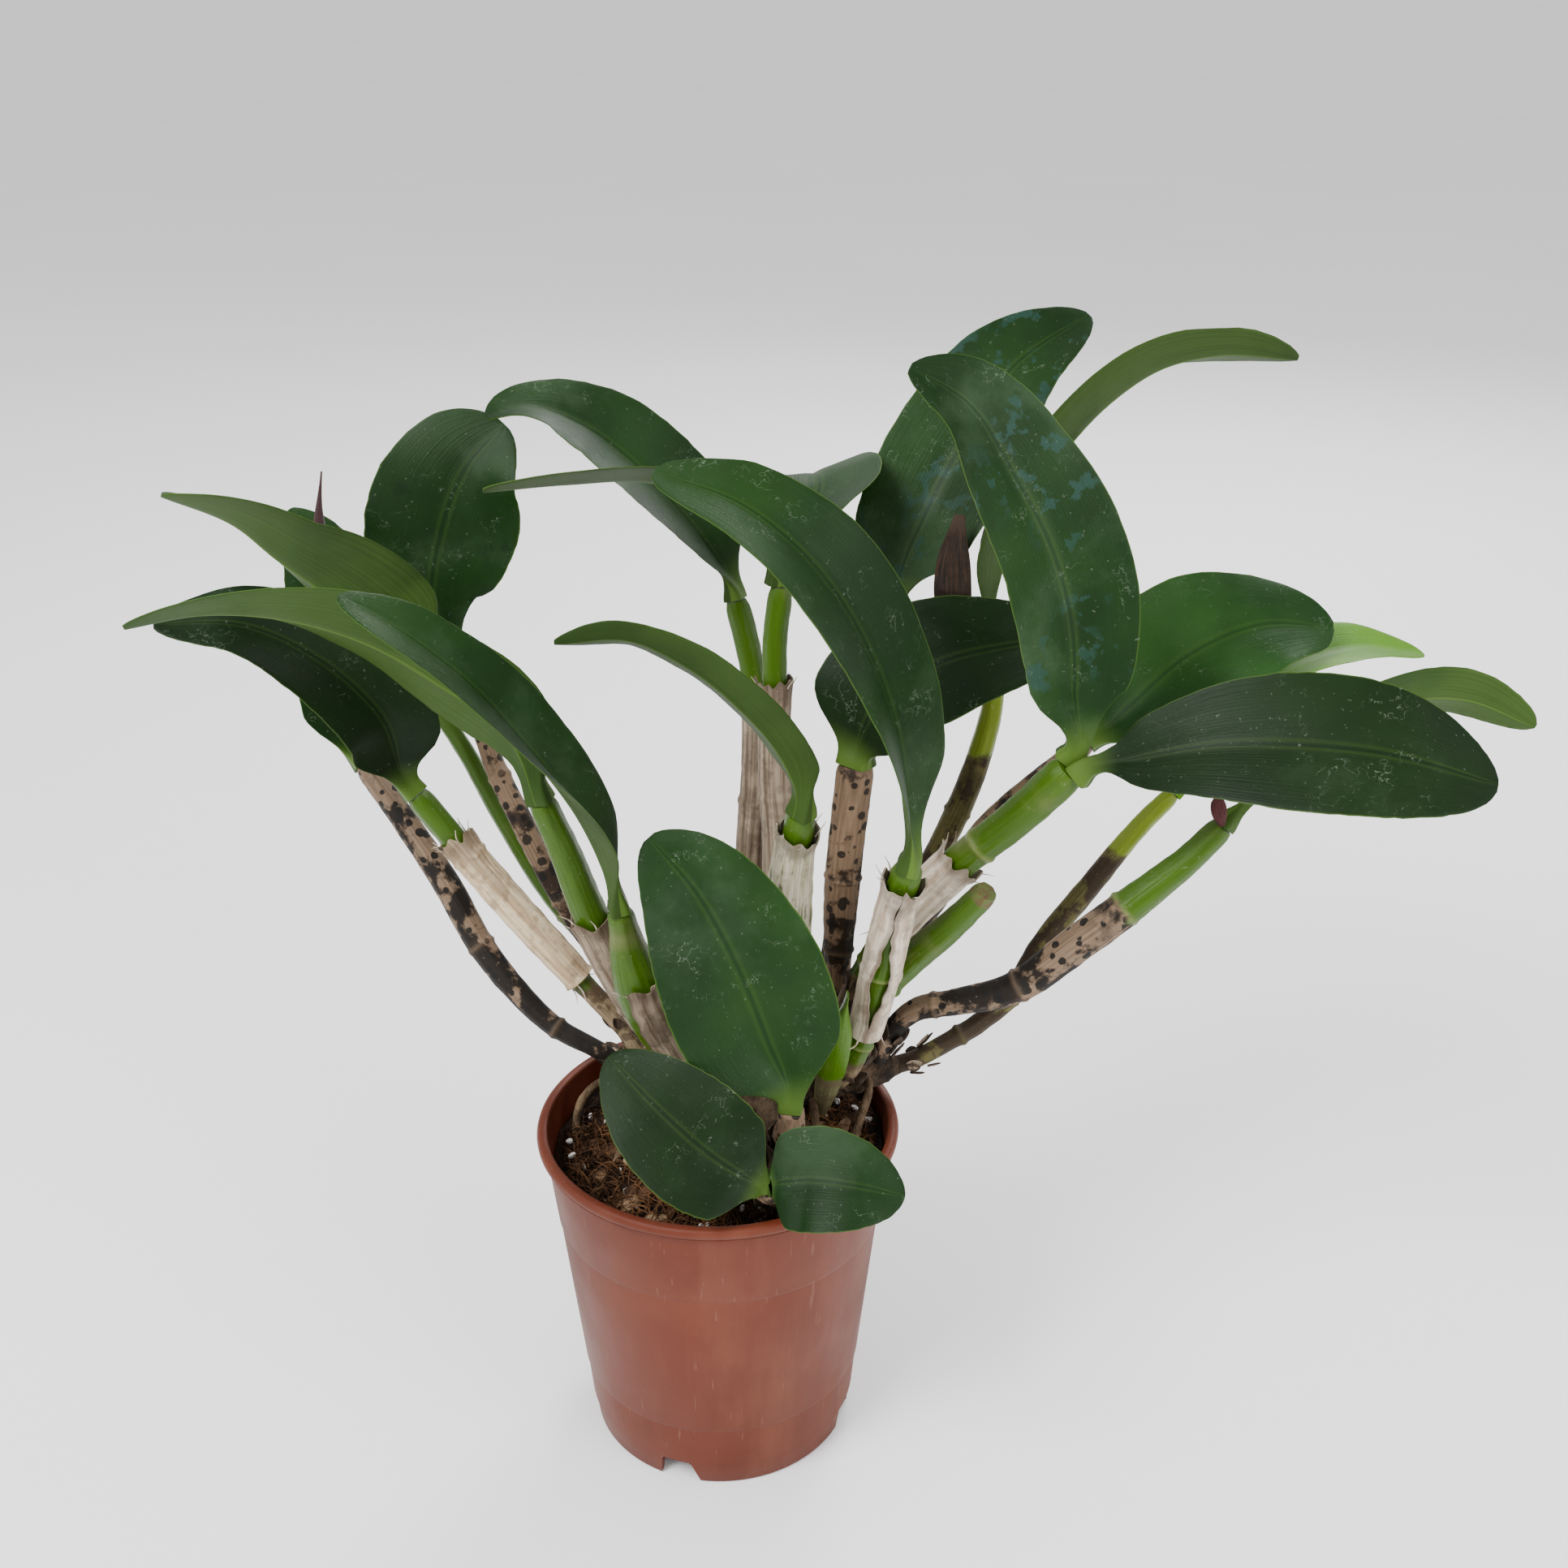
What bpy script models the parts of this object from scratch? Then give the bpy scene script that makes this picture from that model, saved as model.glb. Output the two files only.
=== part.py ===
"""A cattleya orchid, out of flower, in its plastic nursery pot.

The pot, the potting mix, the creeping rhizome, every pseudobulb with its dry sheaths and every
leaf are separate closed meshes. Tables are in millimetres, with the origin on the ground under
the pot's axis, X to the right, Y away from the viewer and Z up.
"""

import math
from collections import namedtuple

import bpy
import numpy as np

MM = 0.001
GAP = 0.3
SEED = 7

# Pot
POT_HEIGHT = 116.0
RIM_RADIUS = 60.0
RIM_HEIGHT = 4.4
WALL = 1.2
NECK_RADIUS = 57.5
BASE_RADIUS = 45.0
FOOT_HEIGHT = 8.8
FOOT_WIDTH = 2.2
PAD_RADIUS = 22.0
FLOOR = 1.4
STEP_HEIGHTS = (25.0, 84.0)
STEP_DEPTH = 0.45
POT_SIDES = 36
NOTCH_AZIMUTHS = (253.5, 343.5, 73.5, 163.5)
NOTCH_WIDTH = 15.0
DRAIN_RADIUS = 3.0
DRAIN_RING = 32.0
DRAIN_COUNT = 8
DRAIN_SIDES = 8

# Potting mix
MIX_EDGE = 105.5
MIX_SLOPE = 5.0
MIX_RINGS = (1.0, 0.9, 0.76, 0.6, 0.42, 0.22)
BARK_CHIPS = 16
CHIP_INNER = 10.0
CHIP_OUTER = 43.0

# Pseudobulbs and leaves
BULB_SIDES = 8
BULB_STATIONS = (0.0, 0.1, 0.22, 0.36, 0.52, 0.68, 0.84, 1.0)
BULB_SWELL = 0.62
JOINT_RISE = 0.5
JOINT_LENGTH = 0.012
SHEATH_GAP = 0.4
SHEATH_WALL = 0.8
LEAF_STATIONS = (0.0, 0.03, 0.08, 0.15, 0.25, 0.37, 0.5, 0.63, 0.76, 0.87, 0.95, 0.995)
LEAF_LANES = (-1.0, -0.5, 0.0, 0.5, 1.0)
LEAF_THICKNESS = 1.5
LEAF_MARGIN = 0.8
KEEL = 0.7
BLUNTNESS = 0.62
PETIOLE_HALF = 2.4
PETIOLE_THICKNESS = 4.4

Bulb = namedtuple("Bulb", "name base belly top joints colour path")
Sheath = namedtuple("Sheath", "name on start end first_side sides colour")
Spathe = namedtuple("Spathe", "name width thickness facing colour path")
Leaf = namedtuple("Leaf", "name on shift width fold wave faces path colour broadest", defaults=("leaf", 0.41))

COLOURS = {
    "pot": (0.36, 0.095, 0.052),
    "mix": (0.055, 0.026, 0.014),
    "rhizome": (0.05, 0.028, 0.016),
    "green_bulb": (0.11, 0.22, 0.026),
    "olive_bulb": (0.11, 0.1, 0.035),
    "brown_bulb": (0.13, 0.08, 0.05),
    "dark_bulb": (0.055, 0.032, 0.022),
    "pale_sheath": (0.42, 0.36, 0.27),
    "tan_sheath": (0.3, 0.22, 0.13),
    "dark_spathe": (0.04, 0.018, 0.01),
    "young_spathe": (0.16, 0.13, 0.06),
    "cut_stub": (0.15, 0.06, 0.03),
    "leaf": (0.026, 0.075, 0.024),
    "bright_leaf": (0.17, 0.36, 0.03),
}
ROUGHNESS = {"pot": 0.5, "mix": 0.95, "leaf": 0.42, "bright_leaf": 0.42, "green_bulb": 0.35}

# The creeping rhizome: its main line and its branches, each with the radius of the line.
RHIZOME = (
    (5.0, ((-31, 22, 113), (-17, 18, 116), (-4, 11, 116), (12, 8, 117), (30, 9, 121), (44, 11, 124),
           (60, 18, 125))),
    (4.6, ((-15, 17, 116), (-14, 30, 116), (-14, 46, 114))),
    (4.4, ((4, 9, 116), (8, 22, 116), (11, 39, 115))),
    (4.8, ((34, 9, 121), (37, 20, 124), (41, 32, 126), (40, 41, 124), (30, 42, 121))),
    (4.4, ((15, 8, 117), (20, -10, 114), (21, -28, 111), (19, -40, 109))),
)
KNOT_RISE = 0.7
END_TAPER = 0.6
# Old roots that leave the rhizome and dive into the mix.
ROOTS = (
    ((-29, 22, 113), (-40, 20, 117), (-47, 14, 113), (-49, 8, 104)),
    ((-20, 19, 116), (-24, 6, 117), (-30, -4, 112), (-34, -10, 103)),
    ((50, 13, 125), (50, 3, 124), (46, -6, 116), (42, -14, 104)),
    ((31, 9, 121), (32, -3, 119), (33, -14, 114), (30, -20, 104)),
    ((20, -26, 112), (10, -34, 114), (-2, -36, 111), (-8, -34, 103)),
)
ROOT_RADIUS = 1.5
ROOT_RINGS = 6
ROOT_SIDES = 6

# Pseudobulbs, each from the rhizome to the ring that its leaf stands on.
BULBS = (
    Bulb("bulb_left_dark", 3.2, 5.0, 4.4, (0.24, 0.5), "dark_bulb",
         ((-26, 21, 116), (-34, 22, 123), (-41, 22, 128), (-57, 27, 135), (-71, 33, 147), (-82, 40, 159),
          (-93, 48, 177), (-110, 60, 199), (-123, 70, 213))),
    Bulb("bulb_left_tan", 3.0, 4.4, 4.6, (0.38, 0.8), "green_bulb",
         ((-17, 18, 117), (-25, 17, 128), (-33, 18, 141), (-49, 21, 160), (-70, 25, 185), (-87, 28, 207),
          (-97, 30, 220))),
    Bulb("bulb_left_slim", 2.8, 3.4, 3.2, (0.4,), "green_bulb",
         ((-14, 43, 115), (-34, 48, 140), (-61, 56, 172), (-76, 63, 197), (-89, 66, 224), (-101, 64, 246))),
    Bulb("bulb_left_spotted", 3.0, 4.2, 3.0, (0.45, 0.74), "brown_bulb",
         ((-14, 30, 116), (-24, 31, 132), (-35, 31, 150), (-54, 38, 180), (-67, 46, 205), (-76, 56, 220),
          (-88, 75, 250))),
    Bulb("bulb_left_green", 3.4, 6.0, 4.8, (0.34,), "green_bulb",
         ((-6, 12, 116), (-20, 13, 138), (-31, 13, 160), (-42, 11, 191), (-48, 7, 214), (-53, 4, 230))),
    Bulb("bulb_fat_green", 3.6, 9.0, 4.5, (0.3,), "green_bulb",
         ((3, 8, 116), (-5, 5, 125), (-12, 2, 138), (-20, -2, 157), (-26, -5, 178), (-29, -8, 198))),
    Bulb("bulb_centre_white", 3.4, 6.4, 4.9, (0.5,), "green_bulb",
         ((22, 8, 119), (22, 7, 142), (23, 4, 172), (24, 0, 206), (27, -8, 231))),
    Bulb("bulb_centre_tall", 3.2, 4.3, 4.4, (0.4, 0.58), "green_bulb",
         ((11, 38, 115), (10, 42, 150), (11, 48, 195), (13, 52, 219), (13, 58, 240), (10, 64, 258),
          (6, 67, 274))),
    Bulb("bulb_centre_rear", 3.2, 4.2, 4.2, (0.42, 0.6), "green_bulb",
         ((8, 21, 116), (14, 26, 140), (19, 33, 175), (20, 34, 200), (19, 36, 226), (19, 39, 250),
          (19, 42, 269), (21, 44, 286))),
    Bulb("bulb_centre_brown", 3.4, 6.2, 6.4, (0.18, 0.36, 0.62), "brown_bulb",
         ((40, 29, 125), (40, 30, 142), (41, 30, 184), (45, 30, 231))),
    Bulb("bulb_front_split", 3.8, 5.6, 5.0, (0.25, 0.55), "green_bulb",
         ((38, 9, 123), (43, 2, 134), (47, 0, 146), (52, -5, 172), (56, -12, 200), (59, -20, 219))),
    Bulb("bulb_right_double", 3.2, 6.0, 6.4, (0.3, 0.72), "green_bulb",
         ((36, 18, 124), (40, 20, 140), (46, 20, 155), (61, 16, 183), (77, 12, 204), (95, 6, 224),
          (109, 1, 242))),
    Bulb("bulb_cut_green", 2.8, 5.4, 4.4, (0.4,), "green_bulb",
         ((47, 12, 126), (50, 12, 142), (54, 9, 158), (63, 3, 175), (74, -5, 191), (84, -12, 207))),
    Bulb("bulb_right_olive", 2.8, 4.6, 3.4, (0.4, 0.6), "olive_bulb",
         ((41, 41, 124), (50, 41, 146), (60, 43, 168), (73, 46, 190), (87, 51, 225), (91, 54, 243),
          (89, 57, 264))),
    Bulb("bulb_right_hidden", 2.8, 4.8, 3.8, (0.5,), "brown_bulb",
         ((44, 34, 126), (55, 32, 148), (69, 30, 177), (92, 34, 210), (108, 38, 224), (121, 42, 233))),
    Bulb("bulb_rear_slim", 2.6, 3.6, 3.2, (0.5,), "brown_bulb",
         ((30, 42, 121), (35, 48, 138), (41, 54, 172), (46, 56, 205), (51, 56, 230), (55, 56, 252),
          (57, 57, 272))),
    Bulb("bulb_right_low", 3.4, 4.2, 3.4, (0.18, 0.34), "olive_bulb",
         ((60, 18, 125), (66, 18, 127), (73, 20, 130), (87, 24, 137), (98, 28, 145), (108, 33, 161),
          (125, 37, 184), (143, 41, 207), (151, 44, 214))),
    Bulb("bulb_far_right", 3.6, 6.4, 4.6, (0.22, 0.42, 0.72), "dark_bulb",
         ((53, 15, 127), (58, 17, 139), (66, 16, 148), (78, 14, 152), (96, 12, 158), (119, 12, 177),
          (138, 12, 194), (151, 14, 205), (161, 15, 216))),
    Bulb("bulb_front", 3.0, 4.8, 4.4, (0.5,), "brown_bulb",
         ((20, -11, 114), (22, -19, 122), (24, -25, 129), (24, -28, 139))),
    Bulb("bulb_front_low", 3.0, 4.8, 5.6, (0.5,), "brown_bulb",
         ((21, -29, 111), (20, -38, 115), (18, -44, 120), (17, -49, 125))),
)

# Dry papery sheaths, each a split sleeve round part of its pseudobulb.
SHEATHS = (
    Sheath("sheath_left_tan", "bulb_left_tan", 0.38, 0.86, 2, 7, "tan_sheath"),
    Sheath("sheath_left_green", "bulb_left_green", 0.22, 0.62, 2, 7, "tan_sheath"),
    Sheath("sheath_fat_green", "bulb_fat_green", 0.22, 0.72, 5, 5, "tan_sheath"),
    Sheath("sheath_centre_white", "bulb_centre_white", 0.48, 0.94, 3, 7, "pale_sheath"),
    Sheath("sheath_centre_tall", "bulb_centre_tall", 0.42, 0.8, 3, 7, "tan_sheath"),
    Sheath("sheath_centre_rear", "bulb_centre_rear", 0.44, 0.82, 3, 7, "tan_sheath"),
    Sheath("sheath_front_split", "bulb_front_split", 0.3, 0.94, 6, 8, "pale_sheath"),
    Sheath("sheath_right_double", "bulb_right_double", 0.4, 0.66, 3, 7, "pale_sheath"),
)

# Small flattened parts of the flowering growth, each from its foot to its tip.
SPATHES = (
    Spathe("spathe_left_young", 8.0, 3.0, (0.3, -0.6, 0.7), "young_spathe",
           ((-120.0, 65, 216), (-126, 74, 238), (-133, 85, 270), (-135, 90, 296), (-133, 92, 311))),
    Spathe("spathe_right_dry", 12.0, 1.6, (-0.1, -1.0, 0.2), "dark_spathe",
           ((83.6, 54, 262), (77, 49, 275), (75.5, 47.5, 293), (77, 49, 308))),
    Spathe("stub_right", 2.8, 2.6, (0.0, -1.0, 0.0), "cut_stub",
           ((113, 5, 244.5), (115, 6, 251), (116, 6, 259))),
    Spathe("bract_far_right", 5.0, 1.6, (-0.2, -0.8, 0.5), "cut_stub",
           ((159.6, 10.4, 218.5), (158, 10, 224), (157, 11, 230))),
)
SPATHE_SIDES = 8
SPATHE_STATIONS = (0.0, 0.12, 0.3, 0.5, 0.7, 0.88, 1.0)

# Blades: where each stands, its width, fold and wave, the way its upper side faces at the root
# and at the tip, its midrib, and where it is broadest.
LEAVES = (
    Leaf("leaf_front", "bulb_front", (0, 0), 53, (22, 6), 0, ((-0.1, -0.85, 0.5), (-0.1, -0.8, 0.6)),
         ((17, -26, 162), (6, -23, 191), (-5, -19, 211), (-19, -13, 226))),
    Leaf("leaf_front_left_low", "bulb_front_low", (-2.9, 0), 39, (16, 4), 0,
         ((-0.1, -0.75, 0.65), (-0.2, -0.7, 0.7)), ((1, -50, 136), (-16, -42, 148), (-32, -31, 160))),
    Leaf("leaf_front_right_low", "bulb_front_low", (2.9, 0), 32, (12, 4), 0,
         ((0.1, -0.7, 0.7), (0.2, -0.7, 0.7)), ((30, -57, 133), (43, -61, 134), (58, -61, 130))),
    Leaf("leaf_left_folded", "bulb_fat_green", (0, 0), 34, (36, 12), 0, ((0.7, 0.1, 0.7), (0.1, -0.5, 0.85)),
         ((-38, -12, 230), (-52, -18, 256), (-69, -24, 281), (-84, -30, 297), (-99, -36, 309))),
    Leaf("leaf_left_arching", "bulb_left_green", (0, 0), 40, (20, 12), 0, ((0.4, 1.0, -0.1), (0.1, 0.3, 0.9)),
         ((-61, 3, 252), (-81, 0, 271), (-100, -4, 285), (-122, -9, 294), (-143, -14, 297),
          (-165, -18, 294))),
    Leaf("leaf_left_dark", "bulb_left_tan", (0, 0), 36, (22, 10), 0, ((0.3, -0.7, 0.6), (0.0, -0.5, 0.85)),
         ((-105, 27, 248), (-121, 24, 268), (-142, 18, 282), (-167, 10, 285))),
    Leaf("leaf_left_high", "bulb_left_slim", (0, 0), 56, (32, 14), 0, ((0.36, 0.93, 0.08), (0.2, 0.3, 0.95)),
         ((-106, 61, 258), (-117, 58, 271), (-128, 54, 283), (-139, 50, 294), (-149, 45, 306),
          (-168, 36, 318))),
    Leaf("leaf_left_upright", "bulb_left_spotted", (0, 0), 52, (12, 6), 0.8,
         ((0.2, -0.85, 0.4), (0.1, -0.75, 0.65)),
         ((-97, 81, 266), (-94, 87, 290), (-84, 92, 313), (-71, 96, 326)), "leaf", 0.58),
    Leaf("leaf_back_arching", "bulb_centre_tall", (0, 0), 42, (26, 12), 0,
         ((0.9, -0.3, 0.35), (-0.3, -0.4, 0.85)),
         ((-2, 69, 290), (-13, 71, 304), (-27, 72, 319), (-42, 71, 331), (-55, 68, 337), (-65, 63, 338),
          (-71, 59, 336)), "leaf", 0.36),
    Leaf("leaf_edge_on", "bulb_centre_rear", (-2.4, 0), 36, (10, 8), 0, ((0.6, 0.3, 0.7), (0.0, 0.4, 0.9)),
         ((10, 39, 310), (-2, 36, 318), (-19, 31, 324), (-42, 24, 325), (-67, 18, 324))),
    Leaf("leaf_centre_long", "bulb_front_split", (0, 0), 44, (22, 12), 0,
         ((0.95, -0.3, 0.2), (0.25, -0.6, 0.75)),
         ((58, -23, 240), (54, -26, 265), (46, -28, 289), (35, -29, 309), (25, -29, 321), (12, -27, 331),
          (-14, -20, 339))),
    Leaf("leaf_behind_centre", "bulb_centre_rear", (2.7, 0.6), 44, (12, 8), 0,
         ((-0.5, 0.0, 0.8), (0.0, -0.35, 0.95)),
         ((26, 50, 303), (33, 61, 312), (33, 74, 314), (31, 87, 311), (29, 98, 304))),
    Leaf("leaf_centre_small", "bulb_centre_white", (0, 0), 27, (16, 10), 0,
         ((0.7, 0.55, 0.4), (0.2, 0.6, 0.7)),
         ((23, -13, 250), (9, -19, 271), (-4, -21, 283), (-21, -22, 292), (-43, -22, 291))),
    Leaf("leaf_centre_dark", "bulb_centre_brown", (0, 0), 46, (18, 8), 0,
         ((-0.5, -0.75, 0.4), (-0.1, -0.6, 0.8)),
         ((47, 29, 243), (55, 30, 256), (71, 32, 265), (92, 36, 269), (116, 42, 270)), "leaf", 0.34),
    Leaf("leaf_right_upright", "bulb_right_double", (-2.8, 2.8), 44, (24, 14), 0,
         ((0.1, -0.95, 0.2), (0.4, -0.7, 0.6)),
         ((109, 4, 266), (107, 6, 287), (101, 8, 307), (88, 10, 331), (74, 12, 351), (57, 12, 361)),
         "leaf", 0.48),
    Leaf("leaf_top", "bulb_rear_slim", (0, 0), 46, (20, 10), 0, ((-0.25, -0.75, 0.6), (-0.2, -0.7, 0.7)),
         ((61, 63, 288), (69, 69, 305), (80, 78, 324), (96, 88, 346), (122, 100, 361))),
    Leaf("leaf_top_right", "bulb_right_olive", (0, 0), 40, (34, 12), 0,
         ((-0.85, 0.05, 0.5), (-0.1, 0.6, 0.8)),
         ((91, 58, 286), (98, 60, 307), (110, 61, 326), (124, 63, 341), (139, 64, 351), (156, 65, 355),
          (183, 68, 353))),
    Leaf("leaf_right_wavy", "bulb_right_hidden", (0, 0), 54, (16, 6), 1.5,
         ((-0.4, -0.7, 0.6), (-0.1, -0.55, 0.85)),
         ((133, 44, 244), (155, 50, 262), (177, 54, 270), (202, 58, 267)), "leaf", 0.36),
    Leaf("leaf_right_broad", "bulb_right_double", (3.0, -3.0), 44, (16, 4), 0,
         ((-0.2, -0.8, 0.6), (0.1, -0.65, 0.75)),
         ((127, -9, 250), (148, -18, 258), (169, -25, 261), (191, -31, 261), (224, -36, 253)), "leaf", 0.62),
    Leaf("leaf_right_bright", "bulb_right_low", (0, 0), 38, (24, 14), 0,
         ((-0.4, 0.1, 0.9), (-0.1, -0.2, 1.0)),
         ((165, 50, 235), (187, 58, 252), (213, 64, 258), (237, 70, 254)), "bright_leaf"),
    Leaf("leaf_far_right", "bulb_far_right", (0, 0), 26, (16, 10), 0, ((-0.3, 0.7, 0.65), (0.0, 0.8, 0.5)),
         ((172, 16, 227), (184, 16, 239), (198, 18, 250), (214, 20, 257), (234, 22, 257), (256, 18, 249)),
         "leaf", 0.6),
    Leaf("leaf_left_hidden", "bulb_left_dark", (0, 0), 38, (18, 8), 0, ((0.3, -0.6, 0.7), (0.2, -0.5, 0.85)),
         ((-129, 84, 244), (-134, 93, 266), (-141, 101, 284), (-149, 108, 294))),
)


def unit(vector):
    """The vector at length one."""
    return np.asarray(vector, float) / np.linalg.norm(vector)


def ease(value):
    """A smooth rise from 0 to 1."""
    value = np.clip(value, 0.0, 1.0)
    return value * value * (3.0 - 2.0 * value)


def smooth_path(points, fractions, start=None):
    """Points and unit tangents at fractions of the length of a smooth curve through points."""
    points = np.array(points, float)
    knots = np.concatenate(([0.0], np.cumsum(np.linalg.norm(np.diff(points, axis=0), axis=1))))
    slopes = np.gradient(points, knots, axis=0)
    if start is not None:
        slopes[0] = start
    dense = []
    for i in range(len(points) - 1):
        span = knots[i + 1] - knots[i]
        for t in np.linspace(0.0, 1.0, 24, endpoint=i == len(points) - 2):
            dense.append(
                (2 * t**3 - 3 * t**2 + 1) * points[i] + (t**3 - 2 * t**2 + t) * span * slopes[i]
                + (3 * t**2 - 2 * t**3) * points[i + 1] + (t**3 - t**2) * span * slopes[i + 1]
            )
    dense = np.array(dense)
    length = np.concatenate(([0.0], np.cumsum(np.linalg.norm(np.diff(dense, axis=0), axis=1))))
    wanted = np.array(fractions) * length[-1]
    tangents = np.gradient(dense, length, axis=0)
    places = np.stack([np.interp(wanted, length, dense[:, k]) for k in range(3)], axis=1)
    aims = np.stack([np.interp(wanted, length, tangents[:, k]) for k in range(3)], axis=1)
    return places, aims / np.linalg.norm(aims, axis=1)[:, None]


def add_object(name, vertices, faces, colour):
    """An object of the given mesh in millimetres, with its material, shaded smooth."""
    mesh = bpy.data.meshes.new(name)
    mesh.from_pydata([tuple(v) for v in np.asarray(vertices) * MM], [], faces)
    mesh.update()
    mesh.shade_smooth()
    mesh.set_sharp_from_angle(angle=math.radians(40))
    mesh.materials.append(material(colour))
    item = bpy.data.objects.new(name, mesh)
    bpy.context.scene.collection.objects.link(item)
    return item


def material(colour):
    """The plain material of one colour, made once."""
    found = bpy.data.materials.get(colour)
    if found:
        return found
    made = bpy.data.materials.new(colour)
    made.use_nodes = True
    shader = made.node_tree.nodes["Principled BSDF"]
    shader.inputs["Base Color"].default_value = (*COLOURS[colour], 1.0)
    shader.inputs["Roughness"].default_value = ROUGHNESS.get(colour, 0.75)
    made.diffuse_color = (*COLOURS[colour], 1.0)
    return made


def as_cutter(item):
    """Marks an object as a tool that is not part of the plant."""
    item.hide_render = True
    item.display_type = "WIRE"
    return item


def combine(item, tools, operation, solver="EXACT"):
    """Joins or cuts an object with a list of tools, then removes them."""
    group = bpy.data.collections.new(item.name + "_tools")
    bpy.context.scene.collection.children.link(group)
    for tool in tools:
        group.objects.link(tool)
    step = item.modifiers.new(operation.lower(), "BOOLEAN")
    step.operation = operation
    step.operand_type = "COLLECTION"
    step.collection = group
    step.solver = solver
    bpy.context.view_layer.update()
    evaluated = item.evaluated_get(bpy.context.evaluated_depsgraph_get())
    result = bpy.data.meshes.new_from_object(evaluated)
    item.modifiers.clear()
    item.data = result
    for tool in list(tools):
        bpy.data.objects.remove(tool, do_unlink=True)
    bpy.data.collections.remove(group)
    result.shade_smooth()
    result.set_sharp_from_angle(angle=math.radians(40))
    return item


def tube_rings(places, tangents, radii, sides):
    """Rings of points round a path, carried along it without twist."""
    helper = (0.0, 1.0, 0.0) if abs(tangents[0][1]) < 0.9 else (1.0, 0.0, 0.0)
    across = unit(np.cross(helper, tangents[0]))
    angles = 2.0 * math.pi * (np.arange(sides) + 0.5) / sides
    rings = []
    for place, tangent, radius in zip(places, tangents, radii):
        across = unit(across - tangent * np.dot(across, tangent))
        other = np.cross(tangent, across)
        rings.append(place + radius * (np.outer(np.cos(angles), across) + np.outer(np.sin(angles), other)))
    return np.array(rings)


def tube_faces(count, sides):
    """Side quads and two end caps of a tube of count rings, faces outward."""
    faces = []
    for i in range(count - 1):
        for k in range(sides):
            n = (k + 1) % sides
            faces.append((i * sides + k, i * sides + n, (i + 1) * sides + n, (i + 1) * sides + k))
    faces.append(tuple(reversed(range(sides))))
    faces.append(tuple((count - 1) * sides + k for k in range(sides)))
    return faces


def tube(name, path, radii, sides, colour, fractions=None):
    """A closed round body along a smooth path."""
    fractions = np.linspace(0.0, 1.0, len(radii)) if fractions is None else fractions
    places, tangents = smooth_path(path, fractions)
    rings = tube_rings(places, tangents, radii, sides)
    return add_object(name, rings.reshape(-1, 3), tube_faces(len(rings), sides), colour)


def turned(name, profile, sides, colour):
    """A body turned round Z from an outline of (radius, height) that starts and ends on the axis."""
    angles = 2.0 * math.pi * np.arange(sides) / sides
    vertices = [(0.0, 0.0, profile[0][1])]
    for radius, height in profile[1:-1]:
        vertices += [(radius * math.cos(a), radius * math.sin(a), height) for a in angles]
    vertices.append((0.0, 0.0, profile[-1][1]))
    last = len(vertices) - 1
    rows = len(profile) - 2
    faces = []
    for k in range(sides):
        n = (k + 1) % sides
        faces.append((0, 1 + n, 1 + k))
        faces.append((last, 1 + (rows - 1) * sides + k, 1 + (rows - 1) * sides + n))
        for i in range(rows - 1):
            low, high = 1 + i * sides, 1 + (i + 1) * sides
            faces.append((low + k, low + n, high + n, high + k))
    return add_object(name, vertices, faces, colour)


def wall_radius(height):
    """Outer radius of the pot's tapering wall."""
    return BASE_RADIUS + (NECK_RADIUS - BASE_RADIUS) * height / (POT_HEIGHT - RIM_HEIGHT)


def pot():
    """The nursery pot: rolled rim, stepped wall, foot ring with notches, and drained floor."""
    neck = POT_HEIGHT - RIM_HEIGHT
    floor_top = FOOT_HEIGHT + FLOOR
    low, high = STEP_HEIGHTS
    profile = [
        (0.0, 0.0), (PAD_RADIUS, 0.0), (PAD_RADIUS + 2.5, FOOT_HEIGHT),
        (BASE_RADIUS - FOOT_WIDTH - 1.6, FOOT_HEIGHT), (BASE_RADIUS - FOOT_WIDTH - 0.6, 0.0),
        (BASE_RADIUS - 0.6, 0.0), (wall_radius(FOOT_HEIGHT) - 0.6, FOOT_HEIGHT),
        (wall_radius(FOOT_HEIGHT), FOOT_HEIGHT + 0.5), (wall_radius(low) - STEP_DEPTH, low),
        (wall_radius(low), low + 0.5), (wall_radius(high) - STEP_DEPTH, high),
        (wall_radius(high), high + 0.5), (NECK_RADIUS, neck), (RIM_RADIUS - 0.5, neck + 0.1),
        (RIM_RADIUS, neck + 1.0), (RIM_RADIUS, POT_HEIGHT - 1.2), (RIM_RADIUS - 0.9, POT_HEIGHT),
        (NECK_RADIUS - 0.6, POT_HEIGHT), (NECK_RADIUS - WALL, POT_HEIGHT - 1.0),
        (wall_radius(floor_top + 3.0) - WALL, floor_top + 3.0),
        (wall_radius(floor_top) - WALL - 1.2, floor_top),
        (PAD_RADIUS + 3.4, floor_top), (PAD_RADIUS + 0.9, FLOOR + 0.4), (0.0, FLOOR + 0.4),
    ]
    body = turned("nursery_pot", profile, POT_SIDES, "pot")
    tools = [foot_notch(azimuth) for azimuth in NOTCH_AZIMUTHS]
    tools += [drain_hole(i) for i in range(DRAIN_COUNT)]
    combine(body, tools, "DIFFERENCE", solver="MANIFOLD")


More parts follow.
